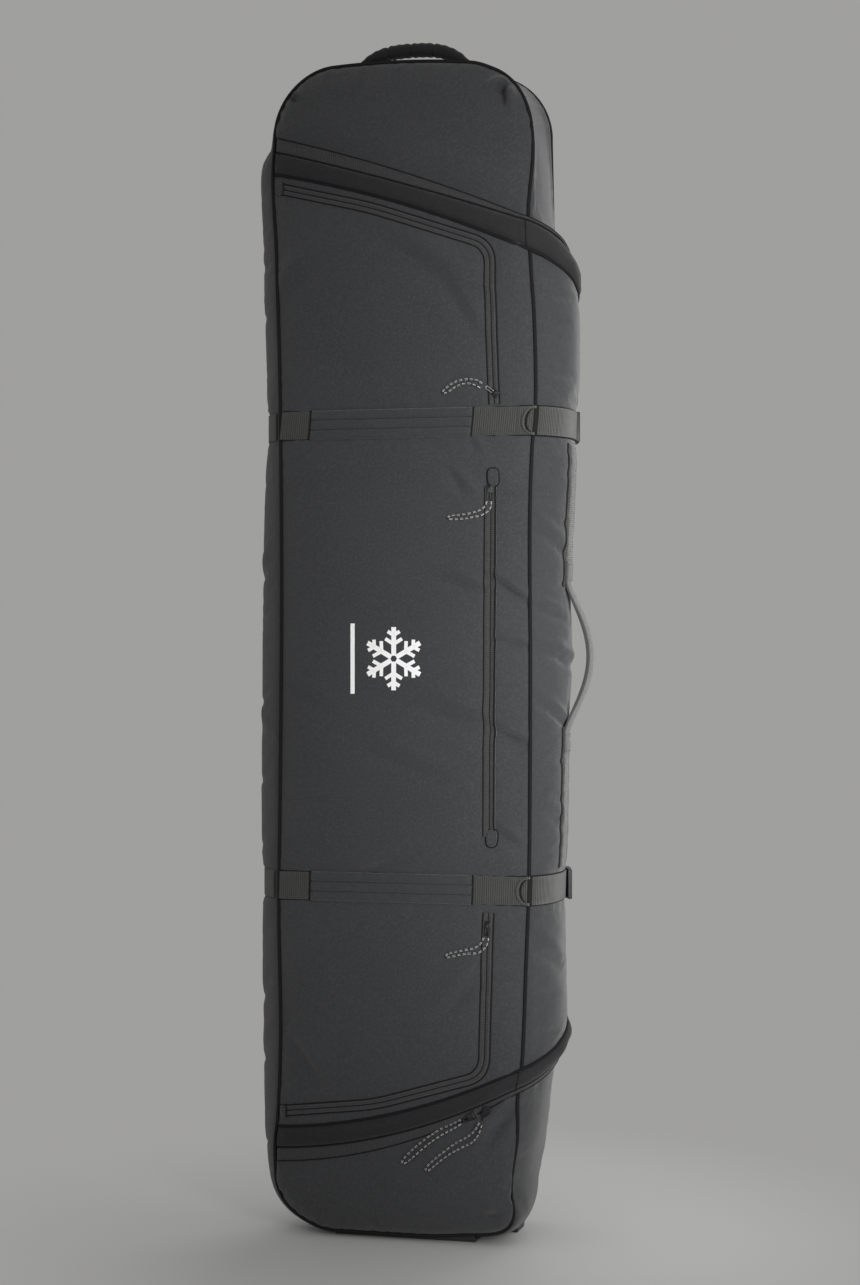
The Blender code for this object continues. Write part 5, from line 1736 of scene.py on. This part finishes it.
def make_slider(name, body, x, z, toward, size, tab_look):
    """A slider on its zip: a domed body, a bridge over it and a pull tab with a hole for the cord."""
    along_zip = Vector((toward[0], 0, toward[1])).normalized()
    axes = (along_zip, Vector((-along_zip.z, 0, along_zip.x)), Vector((0, -1, 0)))
    length, width, tab, tab_width = size
    half, side, tab_side = length / 2, width / 2, tab_width / 2
    start, end = half * 0.3, half + tab
    low, high = 0.0036, 0.0052
    parts = (
        ((-half, -side, 0.0016), (half, side, low), "metal"),
        ((-half * 0.55, -side * 0.75, 0.0030), (half * 0.8, side * 0.75, 0.0048), "metal"),
        ((-start, -side * 0.22, 0.0044), (half * 0.9, side * 0.22, 0.0062), "metal"),
        ((start, -tab_side, low), (end, -tab_side + 0.0014, high), tab_look),
        ((start, tab_side - 0.0014, low), (end, tab_side, high), tab_look),
        ((end - 0.0016, -tab_side, low), (end, tab_side, high), tab_look),
        ((start, -tab_side, low), (start + 0.0016, tab_side, high), tab_look),
    )
    made = []
    for k, (near, far, look) in enumerate(parts):
        made.append(rounded_box(f"slider_{k}", near, far, (0.35, 1.0), on_front(x, z), axes, look))
    dress(joined(name + "_pull_tab", made), body, [name + "_slider"])


def make_pulls():
    for pulls, size, rise in ((POCKET_PULLS, POCKET_SLIDER, 0.0), (MAIN_PULLS, MAIN_SLIDER, MAIN_RAISE)):
        for name, ((x, z), toward, route) in pulls.items():
            body = name + "_pull"
            tab_look = "bright" if name == "upper_pocket" else "metal"
            make_slider(name, body, x, z + rise, toward, size, tab_look)
            route = [(x, z + rise, lift) for x, z, lift in route]
            points = eased_path(cord_route(narrowed(route)))
            cord = tube(name + "_cord_braid", points, CORD_DIAMETER / 2, "cord", 10)
            dress(cord, body, [name + "_cord"])


# ---- Print, base and the CAD pieces that stay ----------------------------------------------------
def print_bar(name, start, end, width, lift):
    """A printed bar that follows the fabric."""
    start, end = Vector(start), Vector(end)
    along_bar = (end - start).normalized()
    aside = Vector((-along_bar.y, along_bar.x)) * (width / 2)
    steps = max(2, round((end - start).length / 0.0015))
    rows = []
    for t in span(0.0, 1.0, steps):
        centre = start + (end - start) * t
        rows.append([on_front(*(centre + aside * part), lift) for part in (-1.0, -0.5, 0.0, 0.5, 1.0)])
    return grid_object(name, rows, [LOOKS["print"]], flip=True)


def make_print():
    """A plain six-armed snow crystal and a short bar beside it; overlapping bars differ a little in lift."""
    centre, reach = Vector((-0.004, 0.798)), 0.043
    parts = []
    for arm in range(6):
        turn = math.radians(30 + 60 * arm)
        ray = Vector((math.cos(turn), math.sin(turn)))
        lift = 0.00075 + 0.00003 * arm
        parts.append(print_bar(f"arm_{arm}", centre + ray * 0.004, centre + ray * reach, 0.0068, lift))
        for k, (part, length) in enumerate(((0.46, 0.014), (0.74, 0.010))):
            for side in (-1, 1):
                away = turn + side * math.radians(58)
                foot = centre + ray * reach * part
                tip = foot + Vector((math.cos(away), math.sin(away))) * length
                lift = 0.00095 + 0.00003 * k
                parts.append(print_bar(f"twig_{arm}_{k}_{side}", foot, tip, 0.0050, lift))
    parts.append(print_bar("bar", (-0.0625, 0.7500), (-0.0625, 0.8460), 0.0060, 0.0008))
    dress(joined("snow_print", parts), "door")


def make_skid():
    """The moulded plate below the heel, with long ribs that take the wear."""
    low, high = BOTTOM + BOTTOM_RADIUS, HEEL - 0.001
    left_top, right_top = seam_x(-1, high, 1.0), seam_x(1, high, 1.0)

    def top(u):
        return left_top + (right_top - left_top) * u, high

    patch = coons(end_line(False, 1.0), top, side_line(-1, low, high, 1.0), side_line(1, low, high, 1.0))

    def surface(u, v):
        x, z = patch(u, v)
        rib = 0.0016 * max(0.0, math.cos(x * 2 * math.pi / 0.030)) ** 3
        inside = (1 - abs(2 * u - 1) ** 12) * (1 - abs(2 * v - 1) ** 8)
        return (x, back_y(z) - 0.0012 + rib * inside, z)

    sheet = soft_sheet("skid_shell", surface, (0.36, 0.13), ("plastic",), flip=True, cell=0.0035,
                       uv_of="front")
    dress(thick(sheet, 0.0030), "bag_body", ["skid_plate"])


STEEL_PIECES = ("inner_bearing", "outer_bearing", "axle")


def look_after_cad():
    """Better materials on the CAD pieces that stay as they are."""
    kept = {
        "plastic": ("base_tub", "left_wheel_housing", "right_wheel_housing"),
        "stiffener": ("back_stiffener",),
        "tyre": ("left_tyre", "right_tyre"),
        "hub": ("left_hub", "right_hub"),
        "steel": [f"{side}_{piece}" for side in ("left", "right") for piece in STEEL_PIECES],
    }
    for look, names in kept.items():
        for name in names:
            for slot in bpy.data.objects[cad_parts[name].name].material_slots:
                slot.material = LOOKS[look]


def sew():
    """The thread of all the stitches, one object on each body."""
    for body, rows in STITCHES.items():
        name = "door_stitches" if body == "door" else "body_stitches"
        dress(stitch_mesh(name, rows), body)


# ---- Stage ---------------------------------------------------------------------------------------
def make_stage():
    """A pale floor that fades into the backdrop's grey, under a plain world of the same grey."""
    scene = bpy.context.scene
    scene.view_settings.view_transform = "Standard"
    world = bpy.data.worlds.new("studio")
    world.use_nodes = True
    world.node_tree.nodes["Background"].inputs[0].default_value = (*BACKDROP, 1)
    scene.world = world

    data = bpy.data.meshes.new("floor")
    corners = [(a * FLOOR_REACH, b * FLOOR_REACH, -0.0005) for a, b in ((-1, -1), (1, -1), (1, 1), (-1, 1))]
    data.from_pydata(corners, [], [(0, 1, 2, 3)])
    n = Nodes("pale_floor")
    place = n.add("TexCoord").outputs["Object"]
    distance = n.add("VectorMath", {0: place}, operation="LENGTH").outputs["Value"]
    near, far = FLOOR_FADE
    fade = n.add("MapRange", {0: distance}, From_Min=near, From_Max=far, interpolation_type="SMOOTHSTEP")
    glow = n.add("Emission", Color=(*BACKDROP, 1))
    n.finished(Base_Color=(*FLOOR_COLOUR, 1), Roughness=0.9)
    blend = n.add("MixShader", {0: fade, 1: n.shader, 2: glow})
    n.link(blend, n.tree.nodes["Material Output"].inputs["Surface"])
    add_object("floor", data, [n.material])


def area_light(name, place, aim, size, power, colour=(1, 1, 1)):
    light = bpy.data.lights.new(name, "AREA")
    light.shape = "RECTANGLE"
    light.size, light.size_y = size
    light.energy = power
    light.color = colour
    obj = bpy.data.objects.new(name, light)
    bpy.context.scene.collection.objects.link(obj)
    obj.location = place
    obj.rotation_euler = (Vector(aim) - Vector(place)).to_track_quat("-Z", "Y").to_euler()
    obj.visible_camera = False
    return light


def make_lights():
    key = area_light("key", (0.90, -1.10, 0.93), (0.45, 0, 0.87), (0.4, 1.4), 6.1)
    key.spread = math.radians(64)
    area_light("fill", (-2.6, -3.0, 1.2), (0, 0, 0.8), (2.2, 2.6), 5, (0.95, 0.97, 1.0))
    area_light("back_fill", (0.5, 3.4, 1.6), (0, 0, 0.8), (2.6, 2.6), 30)


def make_camera():
    """Level with the middle of the bag, 15 degrees to its right, through a 70 mm lens."""
    data = bpy.data.cameras.new("camera")
    data.sensor_fit = "AUTO"
    data.sensor_width = 36.0
    data.lens = CAMERA_LENS
    camera = bpy.data.objects.new("camera", data)
    bpy.context.scene.collection.objects.link(camera)
    away = Vector((math.sin(CAMERA_TURN), -math.cos(CAMERA_TURN), 0))
    camera.location = CAMERA_TARGET + away * CAMERA_DISTANCE
    camera.rotation_euler = (CAMERA_TARGET - camera.location).to_track_quat("-Z", "Y").to_euler()
    bpy.context.scene.camera = camera


# ---- Assembly ------------------------------------------------------------------------------------
make_camera()
make_stage()
make_lights()
front_sheets, side_sheets = make_shell()
front_tree, side_tree = tree_of(front_sheets), tree_of(side_sheets)
make_seams()
make_roll("upper_welt", (upper_zip, upper_roll_foot), UPPER_FALL, "upper_roll")
make_roll("lower_welt", (lower_zip, lower_roll_top), LOWER_RISE, "lower_roll")
make_main_tapes()
make_side_tape()
make_pocket_zips()
make_straps()
make_tie_downs()
make_side_handle()
make_top_handle()
make_pulls()
make_print()
make_skid()
look_after_cad()
sew()

bpy.context.scene.frame_set(1)
